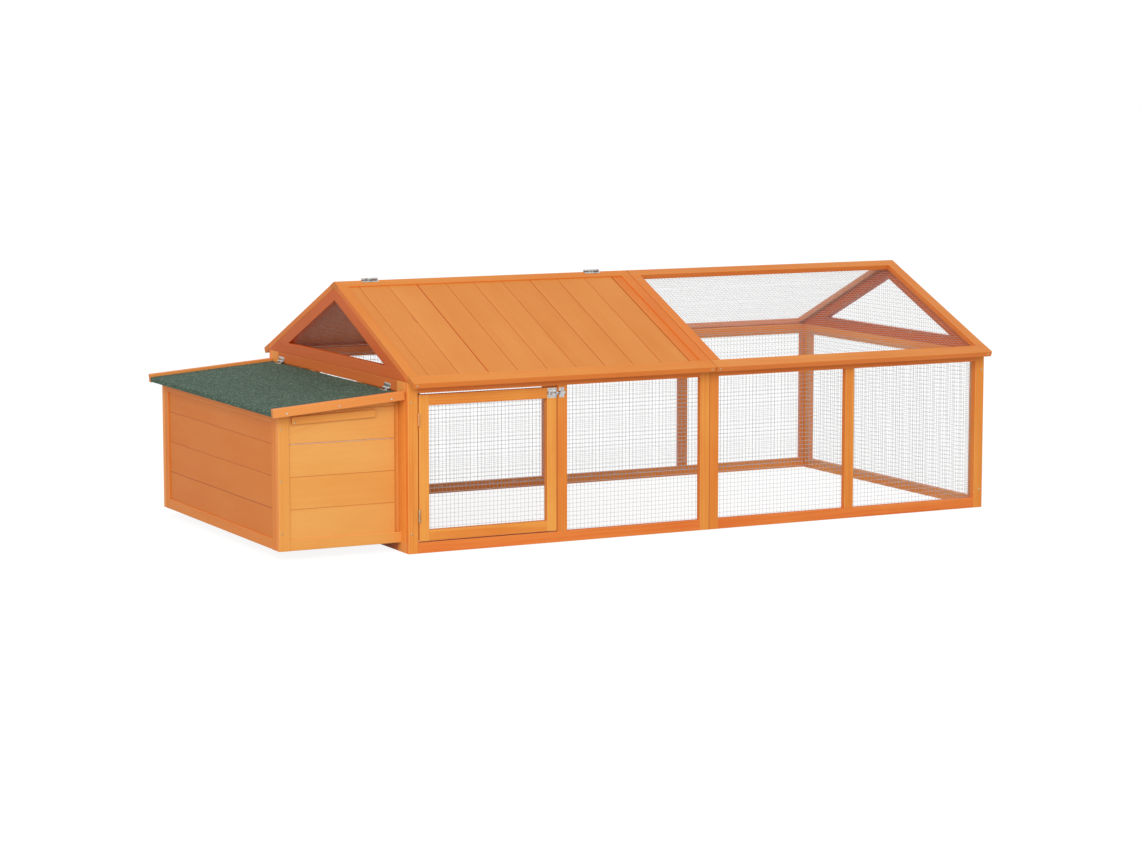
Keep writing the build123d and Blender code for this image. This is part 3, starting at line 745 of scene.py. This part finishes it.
def sheet_of_wire(node, matrix, look, wire=wire_thick, mullion=False):
    """Netting over one field: its frame has X and Y in the sheet and Z towards the wood."""
    low, high = box_in(node, matrix)
    middle = (low + high) / 2
    width, height = high.x - low.x + 2 * net_lap, high.y - low.y + 2 * net_lap
    mesh = grown(netting, bpy.data.meshes.new("bare"), look, width=width, height=height, wire=wire)
    mesh.transform(matrix @ Matrix.Translation((middle.x, middle.y, high.z - wire)))
    stand_for(node + "_wires", mesh, node)
    x_ends = low.x + staple_inset, high.x - staple_inset
    y_ends = low.y + staple_inset, high.y - staple_inset
    uprights = [*x_ends, middle.x] if mullion else x_ends
    lines = [((x, y_ends[0] + staple_clear), (x, y_ends[1] - staple_clear)) for x in uprights]
    lines += [((x_ends[0] + staple_clear, y), (x_ends[1] - staple_clear, y)) for y in y_ends]
    note_staples(home[node], matrix, lines, high.z - 2 * wire)


netting = netting_tree()
zinc_wire = galvanised_wire("galvanised_wire", "A8ABAD", "C8CBCC")
sheet_of_wire("front_left_mesh", facing(front, right), zinc_wire)
sheet_of_wire("front_right_mesh", facing(front, right), zinc_wire, mullion=True)
sheet_of_wire("back_left_mesh", facing(back, left), zinc_wire, mullion=True)
sheet_of_wire("back_right_mesh", facing(back, left), zinc_wire, mullion=True)
sheet_of_wire("right_end_mesh", facing(right, back), zinc_wire)

# Gables: a tie rail across each end wall and two rafters on it, plumb cut where they meet.
# They are the same bars as the walls, nailed together, with a triangle of netting inside.
# The bars' darker, redder stain and the netting's dark wire are painted shade.
gable_wire = 0.00058
# Painted shade: a darker, redder copy of the wall stain on the gables' bars.
shaded_gable_stain = stained_softwood("shaded_gable_stain", "C5561B", "CE6529", "CD7336", 0.2)
# Painted shade: the gable netting's wire is coloured dark, as wire in shade looks.
shaded_gable_wire = galvanised_wire("shaded_gable_wire", "77716C", "7A7672")
timber("gable_rails", shaded_gable_stain)
timber("gable_rafters", shaded_gable_stain)
gable_low, gable_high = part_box("gable_mesh")
gable_width = gable_high.y - gable_low.y
gable_height = gable_high.z - gable_low.z
gable_clear = 3 * staple_clear
gable_lap = 4 * net_lap
gable_sheets = []
for matrix in (facing(left, front), facing(right, back)):
    outward = matrix.col[2].x
    wood_face = gable_low.x if outward < 0 else gable_high.x
    sheet = grown(
        netting, bpy.data.meshes.new("bare"), shaded_gable_wire,
        width=gable_width + gable_lap, height=gable_height + net_lap, wire=gable_wire, taper=1.0,
    )
    matrix.translation = (wood_face, 0, (gable_low.z + gable_high.z) / 2)
    sheet.transform(matrix @ Matrix.Translation((0, 0, -gable_wire)))
    gable_sheets.append(sheet)
    foot = -gable_height / 2 + staple_inset
    reach = gable_width / 2 - gable_clear
    slope_rise = gable_height / (gable_width / 2)
    slant = [(x, gable_height / 2 - slope_rise * x - 2 * staple_inset) for x in (gable_clear, reach)]
    lines = [((-reach, foot), (reach, foot))]
    for side in (-1, 1):
        lines.append([(side * x, y) for x, y in slant])
    note_staples("hutch", matrix, lines, -2 * gable_wire)
stand_for("gable_mesh_wires", joined(gable_sheets), "gable_mesh")

# Planked roof: two slopes over the left half, ridge and eave rails with side trims between them.
# Tongued planks run down each slope, let in a little below the rails, and the last joint has opened.
# The front slope lifts on the ridge hinges, the back one is screwed down.
roof_pitch = radians(23.5)
plank_pitch = 0.0958
plank_ease = 0.002
least_plank = 0.04
plank_shrunk = 0.003
plank_seed = 21
ridge_rail_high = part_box("front_roof_rails")[1]
ridge_height = ridge_rail_high.z + abs(ridge_rail_high.y) * tan(roof_pitch)
roof_stain = stained_softwood("roof_stain", "D37729", "DB8B3B", "D78647", 0.15)
trim_stain = stained_softwood("trim_stain", "D26C25", "DB8233", "D67A33", 0.15)
plank_stain = stained_softwood("plank_stain", "CF7A2F", "D88B3F", "BE4C16", 0.15)


def slope_frame(side):
    """A roof slope: X along the ridge, Y across it towards the back, Z out of the roof."""
    outward = Vector((0, side * sin(roof_pitch), cos(roof_pitch)))
    matrix = facing(outward, right)
    matrix.translation = (0, 0, ridge_height)
    return matrix


slopes = {"front": slope_frame(-1), "back": slope_frame(1)}
for seed, (side, slope) in enumerate(slopes.items(), plank_seed):
    timber(side + "_roof_rails", roof_stain)
    timber(side + "_roof_sides", trim_stain, roof_stain)
    node = side + "_roof_planks"
    low, high = box_in(node, slope)
    whole_planks = int((high.x - low.x - least_plank) / plank_pitch)
    first_joint = (low.x + high.x - whole_planks * plank_pitch) / 2
    last_joint = first_joint + whole_planks * plank_pitch
    planks_high = Vector((last_joint - board_joint, high.y, high.z))
    planks = boards(
        slope, plank_stain, low, planks_high, first_joint, plank_pitch, plank_ease, seed,
        tongue_out=tongue_reach,
    )
    strip_low = Vector((last_joint + plank_shrunk, low.y, low.z))
    next_joint = strip_low.x + plank_pitch
    strip = boards(slope, trim_stain, strip_low, high, next_joint, plank_pitch, plank_ease, seed)
    stand_for(node + "_timber", joined([planks, strip]), node)

# Netted roof: the same frames over the right half, with netting stapled under them.
# Its wire is a lighter copy, painted light for the light from above.
# Both slopes are screwed down.
roof_wire = 0.00055
# Painted light: a lighter copy of the wire for the roof netting, which the light from above falls on.
lit_roof_wire = galvanised_wire("lit_roof_wire", "B4B7B8", "D0D2D2")
netted_stain = stained_softwood("netted_stain", "D1732D", "DB8C42", "E09C57", 0.3)
for side, slope in slopes.items():
    roof = side + "_run_roof"
    timber(roof + "_rails", netted_stain)
    timber(roof + "_sides", netted_stain, trim_stain)
    sheet_of_wire(roof + "_mesh", slope, lit_roof_wire, roof_wire)

# Door: four bars and a sheet of netting, flush in the left half of the front.
# It hangs on two butt hinges at the corner post and is held by a barrel bolt.
timber("door_stiles", stile_stain)
timber("door_rails", stile_stain)
sheet_of_wire("door_mesh", facing(front, right), zinc_wire)

# Staples: short lengths of flattened wire, driven over the netting into the inside of every frame.
# They sit a hand's width apart along each edge, with their crowns along the bar.
staple_spacing = 0.085
staple_crown = 0.0095
staple_leg = 0.005
staple_wide = 0.0011
staple_thick = 0.0006
smear_fine = 420.0


def fastener_steel(name, bright, dull):
    """Plated fastener steel with a smear of stain on it, and painted shade on the heads' rims and
    recesses.
    """
    material, tree = new_material(name)
    place = tree.node("ShaderNodeTexCoord", output="Object")
    smear = place.noise(smear_fine, detail=3.0)
    colour = smear.rise(0.35, 0.75).tint(paint(bright), paint(dull))
    # Painted shade: the rims of the heads and the walls and floors of their cross recesses are
    # darkened.
    colour = tinted(colour, (tree.attribute("head_shade"), 0.85, "2E2114"))
    sockets = {"Base Color": colour, "Roughness": 0.28 + 0.3 * smear, "Metallic": 0.9}
    surface(tree, sockets, smear, depth=0.00004, strength=0.3)
    return material


def stapling_tree():
    """Staples along each edge, with X along the edge and Z the way the edge faces."""
    start, put = new_tree("stapling", {"Spacing": staple_spacing, "Staple": None})
    staple = start.node("GeometryNodeObjectInfo", {0: put["Staple"]}, output="Geometry")
    runs = start.node("GeometryNodeMeshToCurve", {0: put["Geometry"]})
    places = {0: runs, "Length": put["Spacing"]}
    places = start.node("GeometryNodeCurveToPoints", places, {"mode": "LENGTH"})
    out = held(start, "facing", "FLOAT_VECTOR")
    axes = {"primary_axis": "Z", "secondary_axis": "X"}
    turn = start.node("FunctionNodeAxesToRotation", {0: out, 1: places.out("Tangent")}, axes)
    set_out = {"Points": places, "Instance": staple, "Rotation": turn}
    return close_tree(start.node("GeometryNodeInstanceOnPoints", set_out), put["Material"])


def staple_mesh():
    """One staple: a crown on the XY plane and two legs below it."""
    outer, inner = staple_crown / 2, staple_crown / 2 - staple_wide
    outline = [
        (-outer, staple_thick), (-outer, -staple_leg), (-inner, -staple_leg), (-inner, 0),
        (inner, 0), (inner, -staple_leg), (outer, -staple_leg), (outer, staple_thick),
    ]
    points = [(x, y, z) for y in (-staple_wide / 2, staple_wide / 2) for x, z in outline]
    near = list(range(len(outline)))
    far = [corner + len(outline) for corner in near]
    sides = [(near[place], near[place - 1], far[place - 1], far[place]) for place in near]
    mesh = bpy.data.meshes.new("staple")
    mesh.from_pydata(points, [], [near, far[::-1], *sides])
    return mesh


def carried(name, mesh, body):
    """A fastener piece that has no node of its own rides on the body it holds."""
    piece = in_scene(name, mesh)
    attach(piece, body)


pale_steel = fastener_steel("pale_steel", "D4D0C8", "A89A84")
stapling = stapling_tree()
for body, lines in staple_lines.items():
    paths = bpy.data.meshes.new("paths")
    points = [point for ends, _ in lines for point in ends]
    paths.from_pydata(points, [(2 * place, 2 * place + 1) for place in range(len(lines))], [])
    carry(paths, "facing", "POINT", [out for ends, out in lines for _ in ends])
    sample = in_scene("staple", staple_mesh())
    carried(body + "_staples", grown(stapling, paths, pale_steel, staple=sample), body)
    bpy.data.objects.remove(sample)

# Ironmongery: rolled hinges on loose pins and a small barrel bolt with its keeper.
# All of it is pressed from sheet steel or cut from rod, and bright zinc plated.
iron_ease = 0.0003
iron_bend = radians(35)
tint_levels = (0.24, 0.3)
haze_wide = 90.0
rolling_run = (300.0, 300.0, 4000.0)


def zinc_sheet(name, dull, bright, tint_share=0.0):
    """Zinc plate: fine rolling lines, handling marks, a duller haze, and an orange-brown tint on what
    hangs high.
    """
    material, tree = new_material(name)
    place = tree.node("ShaderNodeTexCoord", output="Object")
    haze = place.noise(haze_wide, detail=3.0)
    lines = place.stretch(rolling_run).noise(1.0)
    colour = haze.rise(0.3, 0.7).tint(paint(dull), paint(bright))
    smear = tint_share * place.parts().out("Z").rise(*tint_levels)
    colour = smear.tint(colour, paint("DC9350"))
    roughness = 0.16 + 0.2 * haze + 0.08 * lines + 0.2 * smear
    sockets = {"Base Color": colour, "Roughness": roughness, "Metallic": 1 - smear}
    surface(tree, sockets, lines, depth=0.00003, strength=0.3)
    return material


def smoothed(mesh, bend):
    """Soft shading over a mesh, but for edges that bend more than this."""
    mesh.polygons.foreach_set("use_smooth", [True] * len(mesh.polygons))
    mesh.set_sharp_from_angle(angle=bend)


def ironwork(node, look):
    """A metal node with broken edges and smooth round stretches."""
    mesh = merged_copy(node)
    mesh.materials.append(look)
    mesh = eased_copy(mesh, limit_method="ANGLE", angle_limit=iron_bend, width=iron_ease)
    smoothed(mesh, iron_bend)
    stand_for(node + "_metal", mesh, node)


bright_zinc = zinc_sheet("bright_zinc", "A9A9A8", "D8D9D9")
# Door hinges: warmer, browner zinc, with an orange-brown tint on the upper hinge.
tinted_zinc = zinc_sheet("tinted_zinc", "9C8468", "C0A88C", 0.8)
for node, slot in finish.items():
    if slot == "zinc_hardware":
        ironwork(node, tinted_zinc if node.startswith("door_hinge") else bright_zinc)

# Nest box: a framed end wall, boarded sides, a floor let in between the bottom rails.
# The same stained bars, and wider tongued boards that took the stain paler.
# One joint on the front has opened and shows the raw tongue.
lid_slope = radians(4.4)
lowest_joint = 0.1465
open_joint = 2
open_gap = 0.0022
nest_seeds = (31, 33, 35)
board_stain = stained_softwood("board_stain", "DE9344", "E5A75B", "BF6529", 0.25)
post_stain = stained_softwood("post_stain", "DD8F3F", "E4A355", "EBAE69", 0.25)
for node in ("nest_side_posts", "nest_side_rails", "nest_grip_batten", "nest_floor"):
    timber(node, post_stain)
for node in ("nest_end_stiles", "nest_end_rails"):
    timber(node, warm_stain)

lid_rise = tan(lid_slope)
nest_walls = {
    "nest_end_boards": (end_frame, end_stain, 0.0, none_opened),
    "nest_front_boards": (facing(front, up), board_stain, -lid_rise, open_joint),
    "nest_back_boards": (facing(back, up), board_stain, lid_rise, none_opened),
}
for seed, (node, (matrix, stain, taper, opened)) in zip(nest_seeds, nest_walls.items()):
    low, high = box_in(node, matrix)
    high.x -= max(taper, 0.0) * (high.y - low.y)
    walling = boards(
        matrix, stain, low, high, lowest_joint, board_pitch, board_ease, seed,
        taper=taper, opened=opened, opening=open_gap,
    )
    stand_for(node + "_timber", walling, node)

# Nest box lid: a board between two stained side trims, covered in green mineral felt.
# The felt is glued down, a little wavy, and turned down over the low edge.
# Along the hinges it lifts a little, least over the doorway.
felt_wave = 0.0011
felt_lift = 0.0012
felt_lift_reach = 0.1
felt_lift_half = 0.36
felt_lift_least = 0.3
felt_roll = 0.003
felt_cell = 0.012
felt_bend = radians(40)
turn_steps = 4
wave_count = 5
wave_along = (8, 32)
wave_across = (3, 12)
grit_fine, clump_fine = 620.0, 270.0
pale_clump, pale_grit = 0.9, 0.93
worn_wide, patch_wide = 6.0, 45.0
lid_stain = stained_softwood("lid_stain", "DA7832", "E3964F", "EDA866", 0.2)
timber("lid_trims", lid_stain)
timber("lid_board", board_stain)


def mineral_felt():
    """Bitumen felt under pressed green grit: speckled, matt and rough, blacker where it is cut."""
    material, tree = new_material("mineral_felt")
    place = tree.node("ShaderNodeTexCoord", output="Object")
    grit = place.cells(grit_fine)
    shade = grit.out("Color").red()
    clump = place.cells(clump_fine).out("Color").red()
    worn = place.noise(worn_wide, detail=4.0, roughness=0.6)
    patch = place.noise(patch_wide, detail=3.0)
    depth = 0.3 * shade + 0.4 * clump + 0.2 * worn + 0.3 * patch
    colour = tinted(
        depth.rise(0.15, 1.05).tint(paint("24382D"), paint("4E6754")),
        (clump > pale_clump, 0.55, "7F9684"),
        (shade > pale_grit, 0.5, "8CA08F"),
        (tree.attribute("cut"), 0.75, "1F2A25"),
    )
    height = (1 - grit.rise(0.0, 0.7)) * 0.7 + 0.3 * patch
    sockets = {"Base Color": colour, "Roughness": 0.8 + 0.15 * shade, "Specular IOR Level": 0.3}
    surface(tree, sockets, height, depth=0.0009, strength=0.8)
    return material


lid_axis = Vector((cos(lid_slope), 0, sin(lid_slope)))
lid_up = Vector((-sin(lid_slope), 0, cos(lid_slope)))
lid_frame = facing(lid_up, lid_axis)
felt_low, felt_high = box_in("lid_felt", lid_frame)
board_high = box_in("lid_board", lid_frame)[1]


def felt_profile():
    """The felt's path from the hinges over the lid and down its low edge, in the lid's X and Z."""
    run = felt_high.x - felt_low.x - felt_roll
    steps = int(run / felt_cell)
    flat = [(felt_high.x - run * step / steps, felt_high.z) for step in range(steps + 1)]
    angles = [pi / 2 * step / turn_steps for step in range(1, turn_steps + 1)]
    turn = [
        (felt_low.x + felt_roll * (1 - sin(angle)), felt_high.z - felt_roll * (1 - cos(angle)))
        for angle in angles
    ]
    hang_top = felt_high.z - felt_roll
    hang = [(felt_low.x, felt_low.z + (hang_top - felt_low.z) * share) for share in (0.5, 0.0)]
    return flat + turn + hang


def felt_height(x, y, waves):
    """How far the felt's top lies above its smooth path at a place on the lid."""
    ripple = sum(sin(a * x + b * y + phase) for a, b, phase in waves) / len(waves)
    near_hinge = max(0.0, 1 - (felt_high.x - x) / felt_lift_reach)
    along = min(abs(y) / felt_lift_half, 1.0)
    hump = felt_lift_least * cos(pi / 2 * along) + (1 - felt_lift_least) * sin(pi * along)
    return felt_lift * near_hinge * hump - felt_wave * (0.5 - 0.5 * ripple) * (1 - near_hinge)


def felt_mesh():
    """The felt as one closed sheet: a wavy top and a back that lies on the board."""
    thick = felt_high.z - board_high.z
    width = felt_high.y - felt_low.y
    columns = int(width / felt_cell)
    draw = random.Random("felt")
    ranges = (wave_along, wave_across, (0, 2 * pi))
    waves = [[draw.uniform(*ends) for ends in ranges] for _ in range(wave_count)]
    shape = bmesh.new()
    cut = shape.faces.layers.float.new("cut")
    tops = []
    backs = []
    for x, z in felt_profile():
        across = [felt_low.y + width * column / columns for column in range(columns + 1)]
        hanging = z < felt_high.z - felt_roll / 2
        rises = [0.0 if hanging else felt_height(x, y, waves) for y in across]
        tops.append([shape.verts.new((x, y, z + rise)) for y, rise in zip(across, rises)])
        inner = max(x, felt_low.x + thick), min(z, board_high.z)
        backs.append([shape.verts.new((inner[0], y, inner[1])) for y in across])
    for row in range(len(tops) - 1):
        for column in range(columns):
            for sheet in (tops, backs):
                near, far = sheet[row], sheet[row + 1]
                shape.faces.new((near[column], far[column], far[column + 1], near[column + 1]))
    rims = [(tops[row], backs[row]) for row in (0, -1)]
    rims += [([row[column] for row in tops], [row[column] for row in backs]) for column in (0, -1)]
    for top, under in rims:
        for place in range(len(top) - 1):
            ends = top[place], top[place + 1], under[place + 1], under[place]
            shape.faces.new(ends)[cut] = 1.0
    bmesh.ops.remove_doubles(shape, verts=shape.verts, dist=same_point)
    bmesh.ops.recalc_face_normals(shape, faces=shape.faces)
    mesh = settled(shape, "lid_felt_sheet")
    smoothed(mesh, felt_bend)
    mesh.transform(lid_frame)
    return mesh


felt = felt_mesh()
felt.materials.append(mineral_felt())
stand_for("lid_felt_sheet", felt, "lid_felt")

# Screws and nails: zinc-plated cross-recess screws through the frames, round nails in the lid trims.
# Small ones hold the hinges and the bolt.
# Heads sit just proud of the wood, each turned its own way, a little dulled by the stain.
head_sides = 16
head_dome = ((1.0, 0.0), (1.0, 0.45), (0.82, 0.9))
recess_reach = 0.55
recess_flank = 0.95
recess_root = 0.2
recess_floor = 0.6
recess_deep = 0.0009
screw_radius, screw_height = 0.0036, 0.0012
small_radius, small_height = 0.0021, 0.0008
nail_radius, nail_height = 0.0028, 0.0009
leaf_thick = 0.001
ridge_leaf_out, ridge_leaf_apart = 0.0095, 0.016
lid_leaf_inset, lid_leaf_apart = 0.0047, 0.014
bolt_inset = 0.0045
eave_screw_in, eave_screw_down = 0.013, 0.009
trim_screw_in, trim_screw_down = 0.0137, 0.068
batten_screw_in = 0.01
fixing_seeds = itertools.count(3)


def head_mesh(radius, height, recessed):
    """A round head: a low dome, with a cross recess in it for a screw. Its rim and recess carry a mark
    for painted shade.
    """
    angles = [2 * pi * step / head_sides for step in range(head_sides)]
    rings = [([radius * out] * head_sides, height * rise) for out, rise in head_dome]
    if recessed:
        flank = recess_reach * recess_flank
        arms = [recess_reach, flank, recess_root, flank]
        for size, level in ((1.0, height), (recess_floor, height - recess_deep)):
            reaches = [radius * size * arms[step % len(arms)] for step in range(head_sides)]
            rings.append((reaches, level))
    shape = bmesh.new()
    head_shade = shape.faces.layers.float.new("head_shade")
    loops = []
    for reaches, level in rings:
        spokes = zip(reaches, angles)
        loops.append([shape.verts.new((reach * cos(a), reach * sin(a), level)) for reach, a in spokes])
    for ring, (outer, inner) in enumerate(zip(loops, loops[1:])):
        for step in range(head_sides):
            after = (step + 1) % head_sides
            wall = shape.faces.new((outer[step], outer[after], inner[after], inner[step]))
            # The rim wall and the recess walls take painted shade.
            wall[head_shade] = float(ring in (0, len(head_dome)))
    shape.faces.new(loops[-1])[head_shade] = float(recessed)
    shape.faces.new(list(reversed(loops[0])))
    return settled(shape, "head")


def fixings_tree():
    """One fixing on every vertex, its Z along the vertex's facing and turned at random about it."""
    start, put = new_tree("fixings", {"Seed": 0, "Fixing": None})
    head = start.node("GeometryNodeObjectInfo", {0: put["Fixing"]}, output="Geometry")
    out = held(start, "facing", "FLOAT_VECTOR")
    spin = chance(start, 2 * pi, Seed=put["Seed"])
    turn = start.node("FunctionNodeAxisAngleToRotation", {"Axis": (0, 0, 1), "Angle": spin})
    aim = start.node("FunctionNodeAlignRotationToVector", {"Vector": out}, {"axis": "Z"})
    turned = start.node("FunctionNodeRotateRotation", {0: aim, 1: turn}, {"rotation_space": "LOCAL"})
    set_out = {"Points": put["Geometry"], "Instance": head, "Rotation": turned}
    heads = start.node("GeometryNodeInstanceOnPoints", set_out)
    heads = start.node("GeometryNodeSetShadeSmooth", {0: heads, "Shade Smooth": False})
    return close_tree(heads, put["Material"])


def fixings(places, head, look):
    """Heads on a list of places, each a point and the way it faces."""
    points = bpy.data.meshes.new("places")
    points.from_pydata([point for point, _ in places], [], [])
    carry(points, "facing", "POINT", [out for _, out in places])
    sample = in_scene("head", head)
    mesh = grown(fixing_tree, points, look, seed=next(fixing_seeds), fixing=sample)
    bpy.data.objects.remove(sample)
    return mesh


def solid_points(node):
    """The corners of each separate solid of a node."""
    mesh = merged_copy(node)
    return [
        [mesh.vertices[corner].co for face in faces for corner in face.vertices]
        for faces in loose_parts(mesh)
    ]


def head_places(node, depth):
    """Where a node's fasteners enter the wood, read from the middles of its heads."""
    places = []
    for points in solid_points(node):
        outward = back if sum(point.y for point in points) > 0 else front
        reach = max(point.dot(outward) for point in points)
        crown = [point for point in points if reach - point.dot(outward) < same_point]
        places.append((sum(crown, Vector()) / len(crown) - outward * depth, outward))
    return places


def leaf_middles(node, axis):
    """How far along an axis the middle of each hinge leaf of a node lies."""
    reaches = [[point[axis] for point in points] for points in solid_points(node)]
    return [(min(reach) + max(reach)) / 2 for reach in reaches]


def on_plane(matrix, points, outward):
    """Places for heads from points in a frame of their own."""
    return [(matrix @ Vector(point), outward) for point in points]


fixing_tree = fixings_tree()
gold_steel = fastener_steel("gold_steel", "F4D298", "AE7C42")
screw_head = head_mesh(screw_radius, screw_height, True)
nail_head = head_mesh(nail_radius, nail_height, False)
small_head = head_mesh(small_radius, small_height, True)
wall_screws = fixings(head_places("panel_screws", screw_height), screw_head, gold_steel)
stand_for("panel_screw_heads", wall_screws, "panel_screws")
trim_nails = fixings(head_places("lid_nails", nail_height), nail_head, pale_steel)
stand_for("lid_nail_heads", trim_nails, "lid_nails")

small = {"hutch": [], "roof_panel": [], "lid": [], "door": []}
for name, toward in (("front", -1), ("back", 1)):
    node = f"ridge_hinge_{name}_leaves"
    spots = [
        (middle + step * ridge_leaf_apart, toward * ridge_leaf_out, leaf_thick)
        for middle in leaf_middles(node, 0)
        for step in (-1, 1)
    ]
    small[home[node]] += on_plane(slopes[name], spots, slopes[name].col[2].to_3d())
lid_leaf_low = box_in("lid_hinge_lid_leaves", lid_frame)[0]
wall_leaf_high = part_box("lid_hinge_wall_leaves")[1]
wall_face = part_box("left_end_rails")[0].x
for middle in leaf_middles("lid_hinge_lid_leaves", 1):
    for step in (-1, 1):
        y = middle + step * lid_leaf_apart
        spot = (lid_leaf_low.x + lid_leaf_inset, y, felt_high.z + leaf_thick)
        small["lid"] += on_plane(lid_frame, [spot], lid_up)
        wall_spot = Vector((wall_face - leaf_thick, y, wall_leaf_high.z - lid_leaf_inset))
        small["hutch"].append((wall_spot, left))
for node in ("bolt_plate", "bolt_keeper"):
    low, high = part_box(node)
    columns = [(low.x + high.x) / 2]
    if node == "bolt_plate":
        columns = [low.x + bolt_inset, high.x - bolt_inset]
    for x in columns:
        for z in (low.z + bolt_inset, high.z - bolt_inset):
            small[home[node]].append((Vector((x, high.y - leaf_thick, z)), front))
for body, places in small.items():
    carried(body + "_small_screw_heads", fixings(places, small_head, pale_steel), body)

large = {"hutch": [], "roof_panel": []}
for side, slope in slopes.items():
    for node in (side + "_roof_rails", side + "_run_roof_rails"):
        low, high = box_in(node, slope)
        edge_y, outward = (low.y, -slope.col[1]) if side == "front" else (high.y, slope.col[1])
        ends = low.x + eave_screw_in, high.x - eave_screw_in
        spots = [(x, edge_y, high.z - eave_screw_down) for x in ends]
        large[home[node]] += on_plane(slope, spots, outward.to_3d())
netted_low, netted_high = box_in("front_run_roof_sides", slopes["front"])
spot = (netted_low.x + trim_screw_in, -trim_screw_down, netted_high.z)
large["hutch"] += on_plane(slopes["front"], [spot], slopes["front"].col[2].to_3d())
batten_low, batten_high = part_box("nest_grip_batten")
batten_half = (batten_high.z - batten_low.z - (batten_high.x - batten_low.x) * lid_rise) / 2
batten_screw = Vector((batten_low.x + batten_screw_in, batten_low.y, 0))
batten_screw.z = batten_low.z + batten_half + batten_screw_in * lid_rise
large["hutch"].append((batten_screw, front))
for body, places in large.items():
    carried(body + "_screw_heads", fixings(places, screw_head, gold_steel), body)

# Stage: a plain white floor and backdrop under even studio light, with one large soft lamp.
# The floor keeps a faint shadow under the hutch.
floor_half = 40.0
floor_bounce = 0.6
floor_shade = 0.16
floor_glow = 0.9
ambient = 0.82
lamp_power = 580.0
lamp_size = 6.2
lamp_distance = 11.0
lamp_direction = Vector((-0.55, -0.72, 0.42)).normalized()


def grey(share):
    """A colour without a hue."""
    return (share, share, share, 1.0)


def seen_rays(tree):
    """1 for rays from the camera and for those that metal or glass sends on."""
    rays = tree.node("ShaderNodeLightPath")
    seen = rays.math("MAXIMUM", rays.out("Is Camera Ray"), rays.out("Is Glossy Ray"))
    return rays.math("MAXIMUM", seen, rays.out("Is Transmission Ray"))


floor_material, tree = new_material("pale_floor")
lit = tree.node("ShaderNodeBsdfDiffuse", {"Color": grey(floor_bounce)})
dim = tree.node("ShaderNodeBsdfDiffuse", {"Color": grey(floor_shade)})
glow = tree.node("ShaderNodeEmission", {"Color": grey(1.0), "Strength": floor_glow})
shown = tree.node("ShaderNodeAddShader", {0: dim, 1: glow})
ground = tree.node("ShaderNodeMixShader", {0: seen_rays(tree), 1: lit, 2: shown})
tree.node("ShaderNodeOutputMaterial", {"Surface": ground})
floor_mesh = bpy.data.meshes.new("floor")
corners = [(-1, -1), (1, -1), (1, 1), (-1, 1)]
floor_mesh.from_pydata([(x * floor_half, y * floor_half, 0) for x, y in corners], [], [(0, 1, 2, 3)])
floor_mesh.materials.append(floor_material)
in_scene("floor", floor_mesh)

world = bpy.data.worlds.new("studio")
bpy.context.scene.world = world
world.use_nodes = True
world.node_tree.nodes.clear()
sky = Link(world.node_tree)
brightness = ambient + (1 - ambient) * seen_rays(sky)
backdrop = sky.node("ShaderNodeBackground", {"Color": grey(1.0), "Strength": brightness})
sky.node("ShaderNodeOutputWorld", {"Surface": backdrop})

lamp_data = bpy.data.lights.new("soft_lamp", "AREA")
lamp_data.energy = lamp_power
lamp_data.size = lamp_size
lamp = in_scene("soft_lamp", lamp_data)
lamp.location = lamp_direction * lamp_distance
lamp.rotation_euler = (-lamp_direction).to_track_quat("-Z", "Y").to_euler()

# Camera: at a standing viewer's side, looking past the nest box along the front.
# Its place, aim and lens put the hutch's corners where the photograph has them.
camera_place = (-4.3909, -8.5750, 1.4854)
camera_yaw = 0.4737339
camera_pitch = 0.1260835
camera_lens = 97.17
camera_data = bpy.data.cameras.new("camera")
camera_data.sensor_width = 36.0
camera_data.lens = camera_lens
camera = in_scene("camera", camera_data)
camera.location = camera_place
level_reach = cos(camera_pitch)
sight = Vector((sin(camera_yaw) * level_reach, cos(camera_yaw) * level_reach, -sin(camera_pitch)))
camera.rotation_euler = sight.to_track_quat("-Z", "Y").to_euler()
bpy.context.scene.camera = camera
bpy.context.scene.view_settings.view_transform = "Standard"
